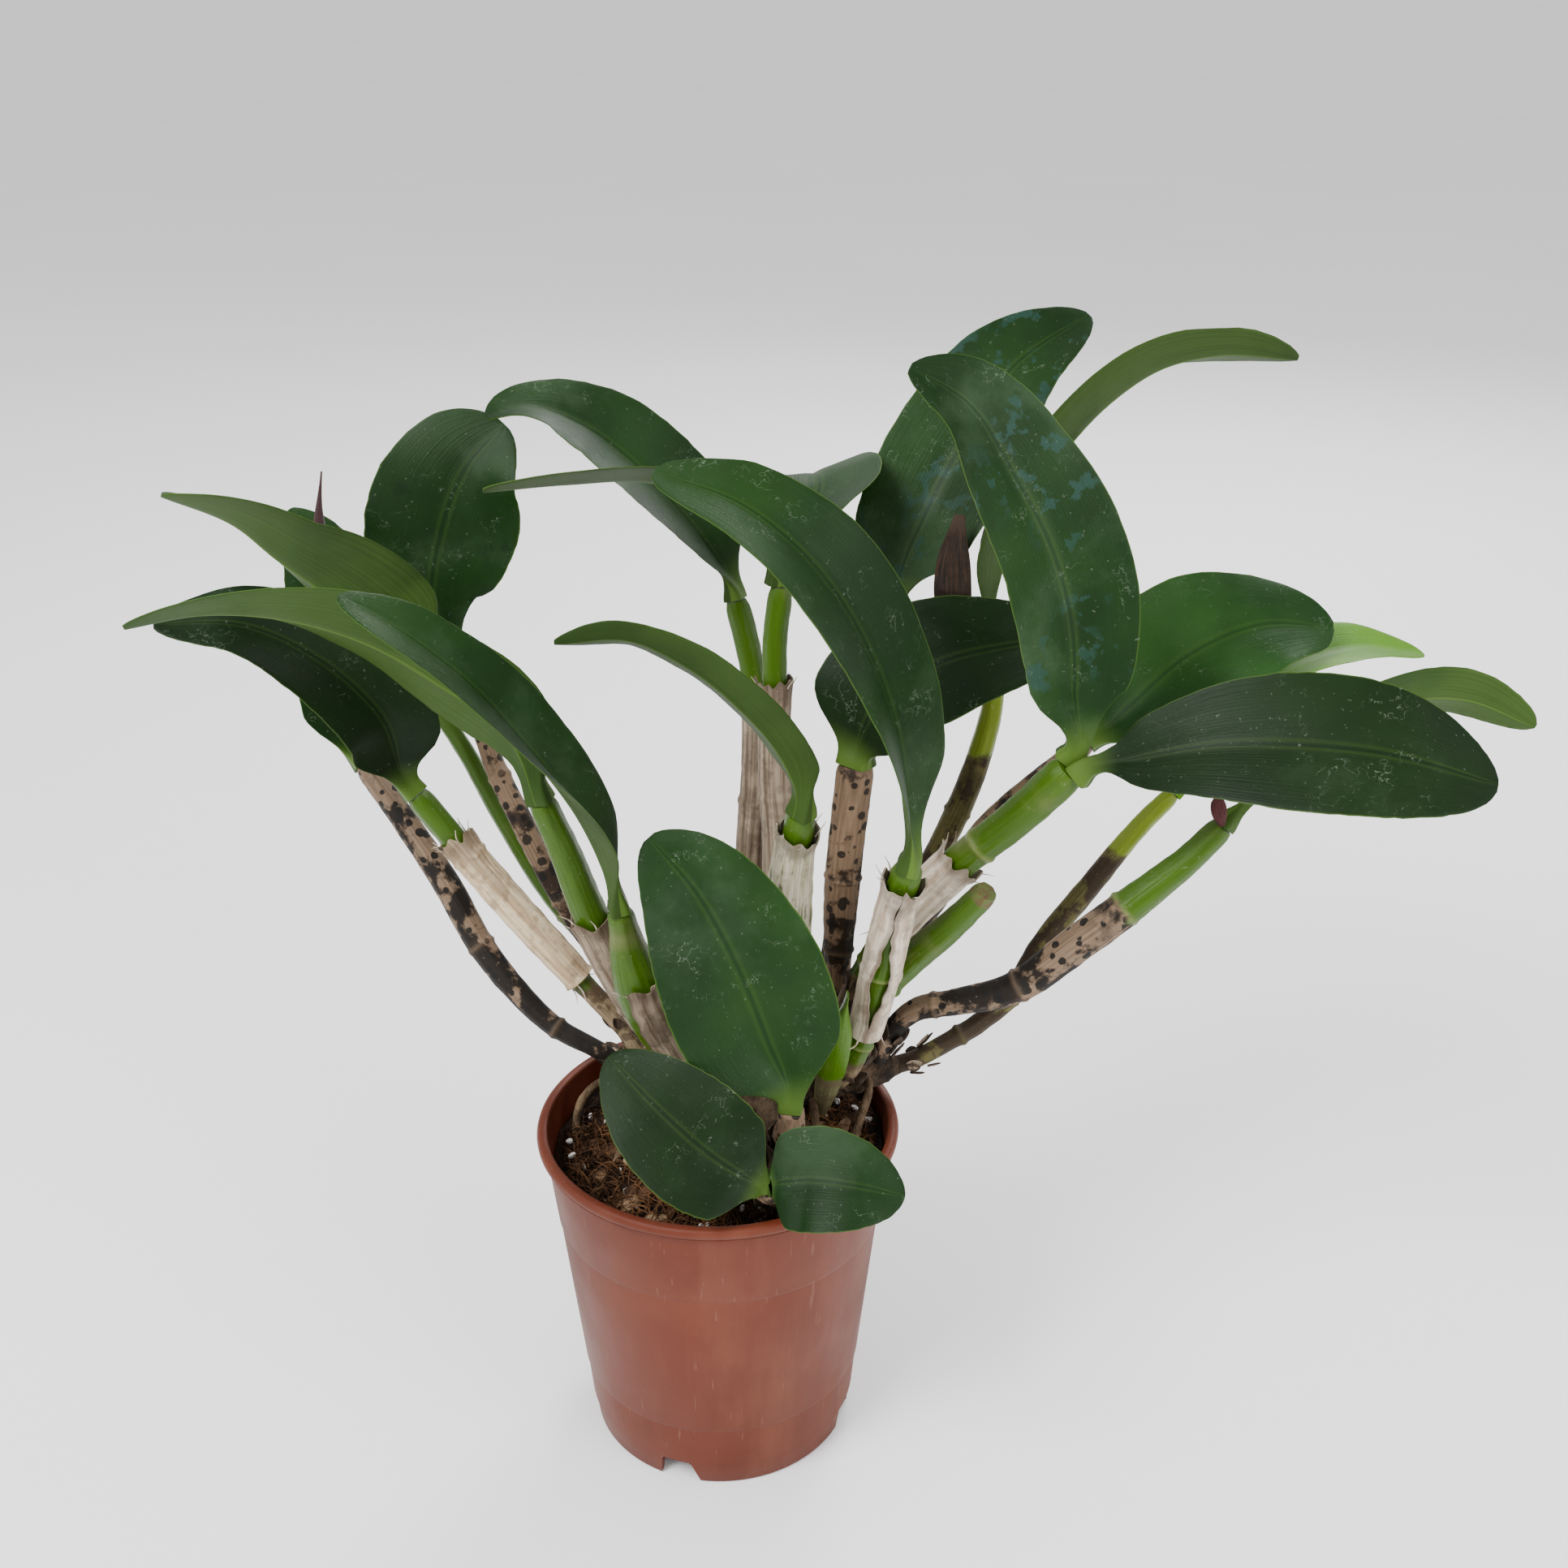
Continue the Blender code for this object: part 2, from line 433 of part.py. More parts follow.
def foot_notch(azimuth):
    """A cutter for one notch in the foot ring, steep on one side and slanted on the other."""
    half = NOTCH_WIDTH / 2.0
    top = FOOT_HEIGHT - 0.6
    outline = ((-half, -2.0), (half, -2.0), (half - 4.2, top), (-half + 0.9, top))
    inner, outer = BASE_RADIUS - FOOT_WIDTH - 5.0, BASE_RADIUS + 4.0
    out = np.array((math.cos(math.radians(azimuth)), math.sin(math.radians(azimuth)), 0.0))
    along = np.array((-out[1], out[0], 0.0))
    vertices = [out * r + along * x + np.array((0, 0, z)) for r in (inner, outer) for x, z in outline]
    faces = [(3, 2, 1, 0), (4, 5, 6, 7), (0, 1, 5, 4), (1, 2, 6, 5), (2, 3, 7, 6), (3, 0, 4, 7)]
    return as_cutter(add_object("notch_cutter", vertices, faces, "pot"))


def drain_hole(index):
    """A cutter for one round drain hole in the raised floor."""
    angle = 2.0 * math.pi * (index + 0.5) / DRAIN_COUNT
    x, y = DRAIN_RING * math.cos(angle), DRAIN_RING * math.sin(angle)
    path = ((x, y, FOOT_HEIGHT - 3.0), (x, y, FOOT_HEIGHT + FLOOR + 3.0))
    return as_cutter(tube("drain_cutter", path, (DRAIN_RADIUS, DRAIN_RADIUS), DRAIN_SIDES, "pot"))


def mix_height(x, y):
    """Height of the mix: low at the front left, mounded under the plant, and lumpy."""
    mound = 5.5 * math.exp(-((x - 12.0) ** 2 + (y - 14.0) ** 2) / (2.0 * 26.0**2))
    lumps = 0.9 * math.sin(0.31 * x + 1.3) * math.cos(0.27 * y) + 0.6 * math.sin(0.7 * x - 0.5 * y)
    return MIX_EDGE + mound + 0.035 * x + 0.03 * y + lumps


def potting_mix(tools):
    """The mix that fills the pot, with bark chips on top and plain holes where the plant stands."""
    floor_top = FOOT_HEIGHT + FLOOR + GAP
    inner = NECK_RADIUS - WALL - 0.4
    edge_radius = wall_radius(MIX_EDGE - MIX_SLOPE) - WALL - 2.0 * GAP
    lower = [
        (0.0, FLOOR + 0.4 + GAP), (PAD_RADIUS + 0.4, FLOOR + 0.4 + GAP), (PAD_RADIUS + 2.9, floor_top),
        (wall_radius(floor_top) - WALL - 1.8, floor_top),
        (wall_radius(floor_top + 3.0) - WALL - 0.5, floor_top + 3.0),
        (wall_radius(60.0) - WALL - 0.6, 60.0),
    ]
    angles = 2.0 * math.pi * np.arange(POT_SIDES) / POT_SIDES
    vertices = [(0.0, 0.0, lower[0][1])]
    for radius, height in lower[1:]:
        vertices += [(radius * math.cos(a), radius * math.sin(a), height) for a in angles]
    for fraction in MIX_RINGS:
        radius = min(edge_radius, inner) * fraction
        for a in angles:
            x, y = radius * math.cos(a), radius * math.sin(a)
            vertices.append((x, y, mix_height(x, y)))
    vertices.append((0.0, 0.0, mix_height(0.0, 0.0)))
    rows = len(lower) - 1 + len(MIX_RINGS)
    last = len(vertices) - 1
    faces = []
    for k in range(POT_SIDES):
        n = (k + 1) % POT_SIDES
        faces.append((0, 1 + n, 1 + k))
        faces.append((last, 1 + (rows - 1) * POT_SIDES + k, 1 + (rows - 1) * POT_SIDES + n))
        for i in range(rows - 1):
            low, high = 1 + i * POT_SIDES, 1 + (i + 1) * POT_SIDES
            faces.append((low + k, low + n, high + n))
            faces.append((low + k, high + n, high + k))
    body = add_object("potting_mix", vertices, faces, "mix")
    combine(body, [bark_chip(i) for i in range(BARK_CHIPS)], "UNION")
    combine(body, tools, "DIFFERENCE")


def bark_chip(index):
    """One chip of bark, half sunk in the mix; the chips follow a sunflower spiral."""
    draw = np.random.default_rng(SEED + index)
    radius = CHIP_INNER + (CHIP_OUTER - CHIP_INNER) * math.sqrt((index + 0.5) / BARK_CHIPS)
    angle = 2.4 * index
    x, y = radius * math.cos(angle), radius * math.sin(angle)
    long, wide, tall = draw.uniform(4.0, 6.5), draw.uniform(2.0, 3.2), draw.uniform(1.6, 2.4)
    turn, lean = draw.uniform(0.0, math.pi), draw.uniform(-0.35, 0.35)
    along = np.array((math.cos(turn) * math.cos(lean), math.sin(turn) * math.cos(lean), math.sin(lean)))
    side = unit(np.cross((0.0, 0.0, 1.0), along))
    up = np.cross(along, side)
    centre = np.array((x, y, mix_height(x, y)))
    corners = [(a, b, c) for c in (-1, 1) for a, b in ((-1, -1), (1, -0.7), (0.8, 1), (-0.9, 0.8))]
    vertices = [centre + along * a * long + side * b * wide + up * c * tall for a, b, c in corners]
    faces = [(3, 2, 1, 0), (4, 5, 6, 7), (0, 1, 5, 4), (1, 2, 6, 5), (2, 3, 7, 6), (3, 0, 4, 7)]
    return as_cutter(add_object("chip", vertices, faces, "mix"))


def creeping_tubes(extra):
    """The lines of the rhizome and its old roots, each a tube that is thicker by extra."""
    tubes = []
    for radius, path in RHIZOME:
        count = 2 * len(path) + 1
        knots = [radius + extra + (KNOT_RISE if i % 2 == 0 else 0.0) for i in range(count)]
        knots[0] = knots[-1] = END_TAPER * radius + extra
        tubes.append(tube("rhizome", path, knots, BULB_SIDES, "rhizome"))
    for path in ROOTS:
        radii = [ROOT_RADIUS + extra] * ROOT_RINGS
        tubes.append(tube("root", path, radii, ROOT_SIDES, "rhizome"))
    return tubes


def rhizome(tools):
    """The creeping rhizome with its old roots, in one body, with sockets for the pseudobulbs."""
    first, *others = creeping_tubes(0.0)
    for item in others:
        as_cutter(item)
    combine(first, others, "UNION")
    combine(first, tools, "DIFFERENCE")


def bulb_fractions(bulb):
    """Places along a pseudobulb that carry a ring of points."""
    places = set(BULB_STATIONS)
    for joint in bulb.joints:
        places |= {joint - JOINT_LENGTH, joint, joint + JOINT_LENGTH}
    for sheath in SHEATHS:
        if sheath.on == bulb.name:
            places |= {sheath.start, sheath.end}
    ordered = sorted(places)
    return [f for i, f in enumerate(ordered) if i == 0 or f - ordered[i - 1] > 0.008]


def bulb_radius(bulb, fraction):
    """Radius along a pseudobulb: a slim foot, a swollen belly, a neck, and a ring at each joint."""
    if fraction < BULB_SWELL:
        radius = bulb.base + (bulb.belly - bulb.base) * ease(fraction / BULB_SWELL)
    else:
        radius = bulb.belly + (bulb.top - bulb.belly) * ease((fraction - BULB_SWELL) / (1.0 - BULB_SWELL))
    return radius + (JOINT_RISE if fraction in bulb.joints else 0.0)


def bulb_rings(bulb, extra=0.0):
    """Rings of points round a pseudobulb, further out by extra."""
    fractions = bulb_fractions(bulb)
    places, tangents = smooth_path(bulb.path, fractions)
    radii = [bulb_radius(bulb, f) + extra for f in fractions]
    return tube_rings(places, tangents, radii, BULB_SIDES), places, tangents


def pseudobulb(bulb, extra=0.0):
    """One pseudobulb, or the cutter for its socket when extra is given."""
    rings, _, _ = bulb_rings(bulb, extra)
    item = add_object(bulb.name, rings.reshape(-1, 3), tube_faces(len(rings), BULB_SIDES), bulb.colour)
    return as_cutter(item) if extra else item


def socket_tools():
    """Cutters a little wider than the pseudobulbs' feet."""
    return [pseudobulb(bulb, extra=GAP + 0.1) for bulb in BULBS]


def sheath_sleeve(sheath):
    """A thin sleeve round part of a pseudobulb, split along one side, with a flared ragged top."""
    bulb = next(b for b in BULBS if b.name == sheath.on)
    fractions = bulb_fractions(bulb)
    rows = [i for i, f in enumerate(fractions) if sheath.start - 1e-6 <= f <= sheath.end + 1e-6]
    lanes = [(sheath.first_side + k) % BULB_SIDES for k in range(sheath.sides)]
    inner, _, tangents = bulb_rings(bulb, SHEATH_GAP)
    outer, _, _ = bulb_rings(bulb, SHEATH_GAP + SHEATH_WALL)
    shells = []
    for rings in (outer, inner):
        shell = rings[np.ix_(rows, lanes)].copy()
        shell[-1] += np.array([tangents[rows[-1]] * (1.2 if k % 2 else -0.6) for k in range(len(lanes))])
        shells.append(shell)
    shells[0][-1] += 0.4 * (shells[0][-1] - shells[1][-1])
    vertices = np.concatenate([s.reshape(-1, 3) for s in shells])
    faces = slab_faces(len(rows), len(lanes))
    add_object(sheath.name, vertices, faces, sheath.colour)


def spathe(item):
    """A flattened, pointed body that faces one way, with blunt ends."""
    places, tangents = smooth_path(item.path, SPATHE_STATIONS)
    angles = 2.0 * math.pi * (np.arange(SPATHE_SIDES) + 0.5) / SPATHE_SIDES
    rings = []
    for fraction, place, tangent in zip(SPATHE_STATIONS, places, tangents):
        side = unit(np.cross(tangent, item.facing))
        front = np.cross(side, tangent)
        swell = 0.24 + 0.76 * math.sin(math.pi * (0.08 + 0.84 * fraction)) ** 1.2
        half = np.array((item.width, item.thickness)) / 2.0 * (swell, 0.5 + 0.5 * swell)
        wide, thick = half[0] * np.cos(angles), half[1] * np.sin(angles)
        rings.append(place + np.outer(wide, side) + np.outer(thick, front))
    faces = tube_faces(len(rings), SPATHE_SIDES)
    if np.dot(np.cross(rings[0][1] - rings[0][0], rings[0][2] - rings[0][1]), tangents[0]) < 0.0:
        faces = [tuple(reversed(face)) for face in faces]
    add_object(item.name, np.concatenate(rings), faces, item.colour)


def slab_faces(rows, lanes):
    """Triangles of a thin slab whose two faces are grids split along the same diagonals."""
    under = rows * lanes
    faces = []
    for i in range(rows - 1):
        for j in range(lanes - 1):
            a, b = i * lanes + j, i * lanes + j + 1
            c, d = (i + 1) * lanes + j + 1, (i + 1) * lanes + j
            faces += [(a, b, c), (a, c, d)]
            faces += [(under + c, under + b, under + a), (under + d, under + c, under + a)]
    border = [(0, j) for j in range(lanes)] + [(i, lanes - 1) for i in range(1, rows)]
    border += [(rows - 1, j) for j in range(lanes - 2, -1, -1)] + [(i, 0) for i in range(rows - 2, 0, -1)]
    for (i, j), (k, m) in zip(border, border[1:] + border[:1]):
        a, b = i * lanes + j, k * lanes + m
        faces += [(b, a, under + a), (b, under + a, under + b)]
    return faces


def blade_half_width(leaf, fraction):
    """Half the width of a blade: a narrow stalk, a wedge, the broad blade and a blunt tip."""
    skew = math.log(0.5) / math.log(leaf.broadest)
    blade = math.sin(math.pi * fraction**skew) ** BLUNTNESS
    opening = float(ease(fraction / 0.2))
    stalk = PETIOLE_HALF * (1.0 - float(ease(fraction / 0.12)))
    return leaf.width / 2.0 * blade * opening + stalk


def blade(leaf):
    """One leaf: a folded, arching blade with a keel below, on its stalk."""
    bulb = next(b for b in BULBS if b.name == leaf.on)
    _, places, tangents = bulb_rings(bulb)
    aim = tangents[-1]
    start = places[-1] + np.array((leaf.shift[0], leaf.shift[1], 0.0))
    start += aim * (np.dot(places[-1] - start, aim) + GAP + 0.05)
    path = [start, start + aim * 3.0, *leaf.path]
    centres, aims = smooth_path(path, LEAF_STATIONS, start=aim)
    upper, lower = [], []
    for fraction, centre, tangent in zip(LEAF_STATIONS, centres, aims):
        face = (1.0 - fraction) * np.array(leaf.faces[0]) + fraction * np.array(leaf.faces[1])
        side = unit(np.cross(tangent, face))
        normal = np.cross(side, tangent)
        half = blade_half_width(leaf, fraction)
        fold = math.radians(leaf.fold[0] + (leaf.fold[1] - leaf.fold[0]) * fraction)
        fold *= float(ease(fraction / 0.1))
        stalk = 1.0 - float(ease(fraction / 0.12))
        for lane in LEAF_LANES:
            lift = abs(lane) * half * math.sin(fold)
            lift += leaf.wave * lane**2 * math.sin(5.0 * math.pi * fraction + lane) * (1.0 - stalk)
            point = centre + side * lane * half * math.cos(fold) + normal * lift
            thick = LEAF_THICKNESS + (LEAF_MARGIN - LEAF_THICKNESS) * abs(lane)
            thick = thick + (PETIOLE_THICKNESS - thick) * stalk
            keel = KEEL * (1.0 - stalk) * (1.0 - fraction) if lane == 0.0 else 0.0
            upper.append(point + normal * thick / 2.0)
            lower.append(point - normal * (thick / 2.0 + keel))
    faces = slab_faces(len(LEAF_STATIONS), len(LEAF_LANES))
    return add_object(leaf.name, upper + lower, faces, leaf.colour)


def build():
    """Everything, in the order that it carries itself: pot, mix, rhizome, pseudobulbs, leaves."""
    for item in list(bpy.data.objects):
        bpy.data.objects.remove(item, do_unlink=True)
    pot()
    potting_mix(socket_tools() + [as_cutter(t) for t in creeping_tubes(GAP + 0.1)])
    rhizome(socket_tools())
    for bulb in BULBS:
        pseudobulb(bulb)
    for sheath in SHEATHS:
        sheath_sleeve(sheath)
    for item in SPATHES:
        spathe(item)
    for leaf in LEAVES:
        blade(leaf)


build()
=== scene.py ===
"""Dresses a potted cattleya orchid: leathery leaves, canes, papery sheaths, mix and nursery pot.

Lengths are in millimetres unless a comment says metres. The origin is under the pot, X points to the right
and Y to the back.
"""

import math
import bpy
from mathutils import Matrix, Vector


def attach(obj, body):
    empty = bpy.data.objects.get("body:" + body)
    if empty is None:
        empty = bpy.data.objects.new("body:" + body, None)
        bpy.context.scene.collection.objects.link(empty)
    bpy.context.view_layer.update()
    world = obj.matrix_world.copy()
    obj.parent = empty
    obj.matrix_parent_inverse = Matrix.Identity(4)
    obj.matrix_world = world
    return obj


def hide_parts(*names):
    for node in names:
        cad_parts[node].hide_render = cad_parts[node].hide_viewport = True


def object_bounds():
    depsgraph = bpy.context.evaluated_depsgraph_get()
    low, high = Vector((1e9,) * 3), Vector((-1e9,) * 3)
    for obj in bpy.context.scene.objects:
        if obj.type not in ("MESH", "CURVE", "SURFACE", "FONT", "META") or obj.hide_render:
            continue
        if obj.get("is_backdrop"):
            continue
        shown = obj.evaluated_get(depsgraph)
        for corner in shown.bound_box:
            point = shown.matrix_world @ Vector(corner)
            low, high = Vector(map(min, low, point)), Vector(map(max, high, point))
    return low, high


bl_info = {
    "name": "Potted Cattleya Dresser",
    "version": (1, 0, 0),
    "blender": (4, 5, 0),
    "location": "3D View > Sidebar > Orchid",
    "description": "Builds the fine leaves, canes, sheaths, mix and pot of a cattleya on its frame",
    "category": "Add Mesh",
}

from collections import namedtuple

import bpy
import numpy as np
from bpy.props import FloatProperty, FloatVectorProperty, IntProperty, PointerProperty
from mathutils import Vector, noise

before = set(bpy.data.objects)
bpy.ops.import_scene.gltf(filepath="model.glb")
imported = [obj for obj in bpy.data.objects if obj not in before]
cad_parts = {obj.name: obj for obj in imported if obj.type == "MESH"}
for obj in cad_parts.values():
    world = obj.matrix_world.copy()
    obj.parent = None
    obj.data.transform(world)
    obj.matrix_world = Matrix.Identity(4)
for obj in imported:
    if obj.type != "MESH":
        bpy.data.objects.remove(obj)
CAD_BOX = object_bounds()

MM = 0.001
SEED = 11
CURVE_STEPS = 24

# Pot
POT_HEIGHT = 116.0
RIM_RADIUS = 60.0
RIM_HEIGHT = 4.4
WALL = 1.2
NECK_RADIUS = 57.5
BASE_RADIUS = 45.0
FOOT_HEIGHT = 8.8
FOOT_WIDTH = 2.2
PAD_RADIUS = 22.0
FLOOR = 1.4
STEP_HEIGHTS = (25.0, 84.0)
STEP_DEPTH = 0.45
POT_SIDES = 144
NOTCH_AZIMUTHS = (253.5, 343.5, 73.5, 163.5)
NOTCH_WIDTH = 15.0
DRAIN_RADIUS = 3.0
DRAIN_RING = 32.0
DRAIN_COUNT = 8
DRAIN_SIDES = 24
# Half the width and half the height of the rolled bead on the rim
BEAD = (1.5, 1.9)
POT_SHARP = 40

# Potting mix
MIX_EDGE = 105.5
MIX_RADIUS = 54.6
MIX_RINGS = 34
MIX_SIDES = 120
SKIRT_RADIUS = MIX_RADIUS - 5.5
SKIRT_LOW = 60.0
PERLITE_COUNT = 90
CHUNK_LEVELS = ((-1.0, 0.75), (-0.55, 1.0), (0.5, 1.0), (1.0, 0.7))
CHUNK_SIDES = 7
FIBRE_REACH = 53.0
FIBRE_ROWS = 9
FIBRE_ANGLES = (0.0, 2.1, 4.2)

# Canes and sheaths
BULB_SWELL = 0.62
JOINT_RISE = 0.6
JOINT_SOFTNESS = 0.007
JOINT_STEPS = (-0.01, -0.005, 0, 0.005, 0.01)
CANE_ROWS = 72
CANE_SIDES = 28
BEVEL = 0.02
FLUTE = 0.13
SHEATH_GAP = 0.4
SHEATH_WALL = 0.55
SHEATH_ROWS = 64
SHEATH_LANES = 49
CAD_SIDES = 8
AXIS_STEPS = 60
FLAKE_ROWS = 9
FLAKE_HALF = 0.14
STRAND_ROWS = 7
STRAND_RADIUS = 0.34
STRAND_ANGLES = (0.0, 1.6, 3.1, 4.7)
SPATHE_ROWS = 26
SPATHE_SIDES = 18

# Leaves
LEAF_THICKNESS = 1.5
LEAF_MARGIN = 0.7
KEEL = 0.8
KEEL_REACH = 1.5
GROOVE = 0.55
GROOVE_REACH = 1.3
PETIOLE_HALF = 2.4
PETIOLE_THICKNESS = 4.2
ROOT_GAP = 0.35
STRAIGHT_STALK = 3.0
CLASP_REACH = 9.0
# The exponent that rounds the two ends of a blade: the smaller, the blunter
BLUNTNESS = 0.52
# Shares of a leaf's length, from its base
STALK_END = 0.12
WEDGE_END = 0.2
FOLD_START = 0.1
BLADE_END = 0.997

# Stage: metres, degrees, pixels of the photograph and, for the sensor, millimetres
FLOOR_HALF = 60.0
FLOOR_LEVEL = -0.0003
PLANT_MIDDLE = (0.03, 0.0, 0.2)
SENSOR_WIDTH = 36.0
FOCAL_PIXELS = 2200.0
FRAME_PIXELS = 1932.0
CAMERA_PLACE = (0.0219, -0.4964, 0.4603)
CAMERA_PITCH = 65.83

Bulb = namedtuple("Bulb", "name base belly top joints colour path")
Sheath = namedtuple("Sheath", "name on start end first_side sides colour")
Spathe = namedtuple("Spathe", "name width thickness facing colour path")
Leaf = namedtuple(
    "Leaf", "name on shift width fold wave faces path colour broadest", defaults=("leaf", 0.41))

# The creeping rhizome: its main line and its branches, each with the radius of the line.
RHIZOME = (
    (5.0, ((-31, 22, 113), (-17, 18, 116), (-4, 11, 116), (12, 8, 117), (30, 9, 121), (44, 11, 124),
           (60, 18, 125))),
    (4.6, ((-15, 17, 116), (-14, 30, 116), (-14, 46, 114))),
    (4.4, ((4, 9, 116), (8, 22, 116), (11, 39, 115))),
    (4.8, ((34, 9, 121), (37, 20, 124), (41, 32, 126), (40, 41, 124), (30, 42, 121))),
    (4.4, ((15, 8, 117), (20, -10, 114), (21, -28, 111), (19, -40, 109))),
)
# Old roots that leave the rhizome and dive into the mix.
ROOTS = (
    ((-29, 22, 113), (-40, 20, 117), (-47, 14, 113), (-49, 8, 104)),
    ((-20, 19, 116), (-24, 6, 117), (-30, -4, 112), (-34, -10, 103)),
    ((50, 13, 125), (50, 3, 124), (46, -6, 116), (42, -14, 104)),
    ((31, 9, 121), (32, -3, 119), (33, -14, 114), (30, -20, 104)),
    ((20, -26, 112), (10, -34, 114), (-2, -36, 111), (-8, -34, 103)),
)
ROOT_RADIUS = 1.5

# Canes, each from the rhizome to the ring that its leaf stands on.
BULBS = (
    Bulb("bulb_left_dark", 3.2, 5.0, 4.4, (0.24, 0.5), "dark_bulb",
         ((-26, 21, 116), (-34, 22, 123), (-41, 22, 128), (-57, 27, 135), (-71, 33, 147), (-82, 40, 159),
          (-93, 48, 177), (-110, 60, 199), (-123, 70, 213))),
    Bulb("bulb_left_tan", 3.0, 4.4, 4.6, (0.38, 0.8), "green_bulb",
         ((-17, 18, 117), (-25, 17, 128), (-33, 18, 141), (-49, 21, 160), (-70, 25, 185), (-87, 28, 207),
          (-97, 30, 220))),
    Bulb("bulb_left_slim", 2.8, 3.4, 3.2, (0.4,), "green_bulb",
         ((-14, 43, 115), (-34, 48, 140), (-61, 56, 172), (-76, 63, 197), (-89, 66, 224), (-101, 64, 246))),
    Bulb("bulb_left_spotted", 3.0, 4.2, 3.0, (0.45, 0.74), "brown_bulb",
         ((-14, 30, 116), (-24, 31, 132), (-35, 31, 150), (-54, 38, 180), (-67, 46, 205), (-76, 56, 220),
          (-88, 75, 250))),
    Bulb("bulb_left_green", 3.4, 6.0, 4.8, (0.34,), "green_bulb",
         ((-6, 12, 116), (-20, 13, 138), (-31, 13, 160), (-42, 11, 191), (-48, 7, 214), (-53, 4, 230))),
    Bulb("bulb_fat_green", 3.6, 9.0, 4.5, (0.3,), "green_bulb",
         ((3, 8, 116), (-5, 5, 125), (-12, 2, 138), (-20, -2, 157), (-26, -5, 178), (-29, -8, 198))),
    Bulb("bulb_centre_white", 3.4, 6.4, 4.9, (0.5,), "green_bulb",
         ((22, 8, 119), (22, 7, 142), (23, 4, 172), (24, 0, 206), (27, -8, 231))),
    Bulb("bulb_centre_tall", 3.2, 4.3, 4.4, (0.4, 0.58), "green_bulb",
         ((11, 38, 115), (10, 42, 150), (11, 48, 195), (13, 52, 219), (13, 58, 240), (10, 64, 258),
          (6, 67, 274))),
    Bulb("bulb_centre_rear", 3.2, 4.2, 4.2, (0.42, 0.6), "green_bulb",
         ((8, 21, 116), (14, 26, 140), (19, 33, 175), (20, 34, 200), (19, 36, 226), (19, 39, 250),
          (19, 42, 269), (21, 44, 286))),
    Bulb("bulb_centre_brown", 3.4, 6.2, 6.4, (0.18, 0.36, 0.62), "brown_bulb",
         ((40, 29, 125), (40, 30, 142), (41, 30, 184), (45, 30, 231))),
    Bulb("bulb_front_split", 3.8, 5.6, 5.0, (0.25, 0.55), "green_bulb",
         ((38, 9, 123), (43, 2, 134), (47, 0, 146), (52, -5, 172), (56, -12, 200), (59, -20, 219))),
    Bulb("bulb_right_double", 3.2, 6.0, 6.4, (0.3, 0.72), "green_bulb",
         ((36, 18, 124), (40, 20, 140), (46, 20, 155), (61, 16, 183), (77, 12, 204), (95, 6, 224),
          (109, 1, 242))),
    Bulb("bulb_cut_green", 2.8, 5.4, 4.4, (0.4,), "green_bulb",
         ((47, 12, 126), (50, 12, 142), (54, 9, 158), (63, 3, 175), (74, -5, 191), (84, -12, 207))),
    Bulb("bulb_right_olive", 2.8, 4.6, 3.4, (0.4, 0.6), "olive_bulb",
         ((41, 41, 124), (50, 41, 146), (60, 43, 168), (73, 46, 190), (87, 51, 225), (91, 54, 243),
          (89, 57, 264))),
    Bulb("bulb_right_hidden", 2.8, 4.8, 3.8, (0.5,), "brown_bulb",
         ((44, 34, 126), (55, 32, 148), (69, 30, 177), (92, 34, 210), (108, 38, 224), (121, 42, 233))),
    Bulb("bulb_rear_slim", 2.6, 3.6, 3.2, (0.5,), "brown_bulb",
         ((30, 42, 121), (35, 48, 138), (41, 54, 172), (46, 56, 205), (51, 56, 230), (55, 56, 252),
          (57, 57, 272))),
    Bulb("bulb_right_low", 3.4, 4.2, 3.4, (0.18, 0.34), "olive_bulb",
         ((60, 18, 125), (66, 18, 127), (73, 20, 130), (87, 24, 137), (98, 28, 145), (108, 33, 161),
          (125, 37, 184), (143, 41, 207), (151, 44, 214))),
    Bulb("bulb_far_right", 3.6, 6.4, 4.6, (0.22, 0.42, 0.72), "dark_bulb",
         ((53, 15, 127), (58, 17, 139), (66, 16, 148), (78, 14, 152), (96, 12, 158), (119, 12, 177),
          (138, 12, 194), (151, 14, 205), (161, 15, 216))),
    Bulb("bulb_front", 3.0, 4.8, 4.4, (0.5,), "brown_bulb",
         ((20, -11, 114), (22, -19, 122), (24, -25, 129), (24, -28, 139))),
    Bulb("bulb_front_low", 3.0, 4.8, 5.6, (0.5,), "brown_bulb",
         ((21, -29, 111), (20, -38, 115), (18, -44, 120), (17, -49, 125))),
)
SHEATHS = (
    Sheath("sheath_left_tan", "bulb_left_tan", 0.38, 0.86, 2, 7, "tan_sheath"),
    Sheath("sheath_left_green", "bulb_left_green", 0.22, 0.62, 2, 7, "tan_sheath"),
    Sheath("sheath_fat_green", "bulb_fat_green", 0.22, 0.72, 5, 5, "tan_sheath"),
    Sheath("sheath_centre_white", "bulb_centre_white", 0.48, 0.94, 3, 7, "pale_sheath"),
    Sheath("sheath_centre_tall", "bulb_centre_tall", 0.42, 0.8, 3, 7, "tan_sheath"),
    Sheath("sheath_centre_rear", "bulb_centre_rear", 0.44, 0.82, 3, 7, "tan_sheath"),
    Sheath("sheath_front_split", "bulb_front_split", 0.3, 0.94, 6, 8, "pale_sheath"),
    Sheath("sheath_right_double", "bulb_right_double", 0.4, 0.66, 3, 7, "pale_sheath"),
)
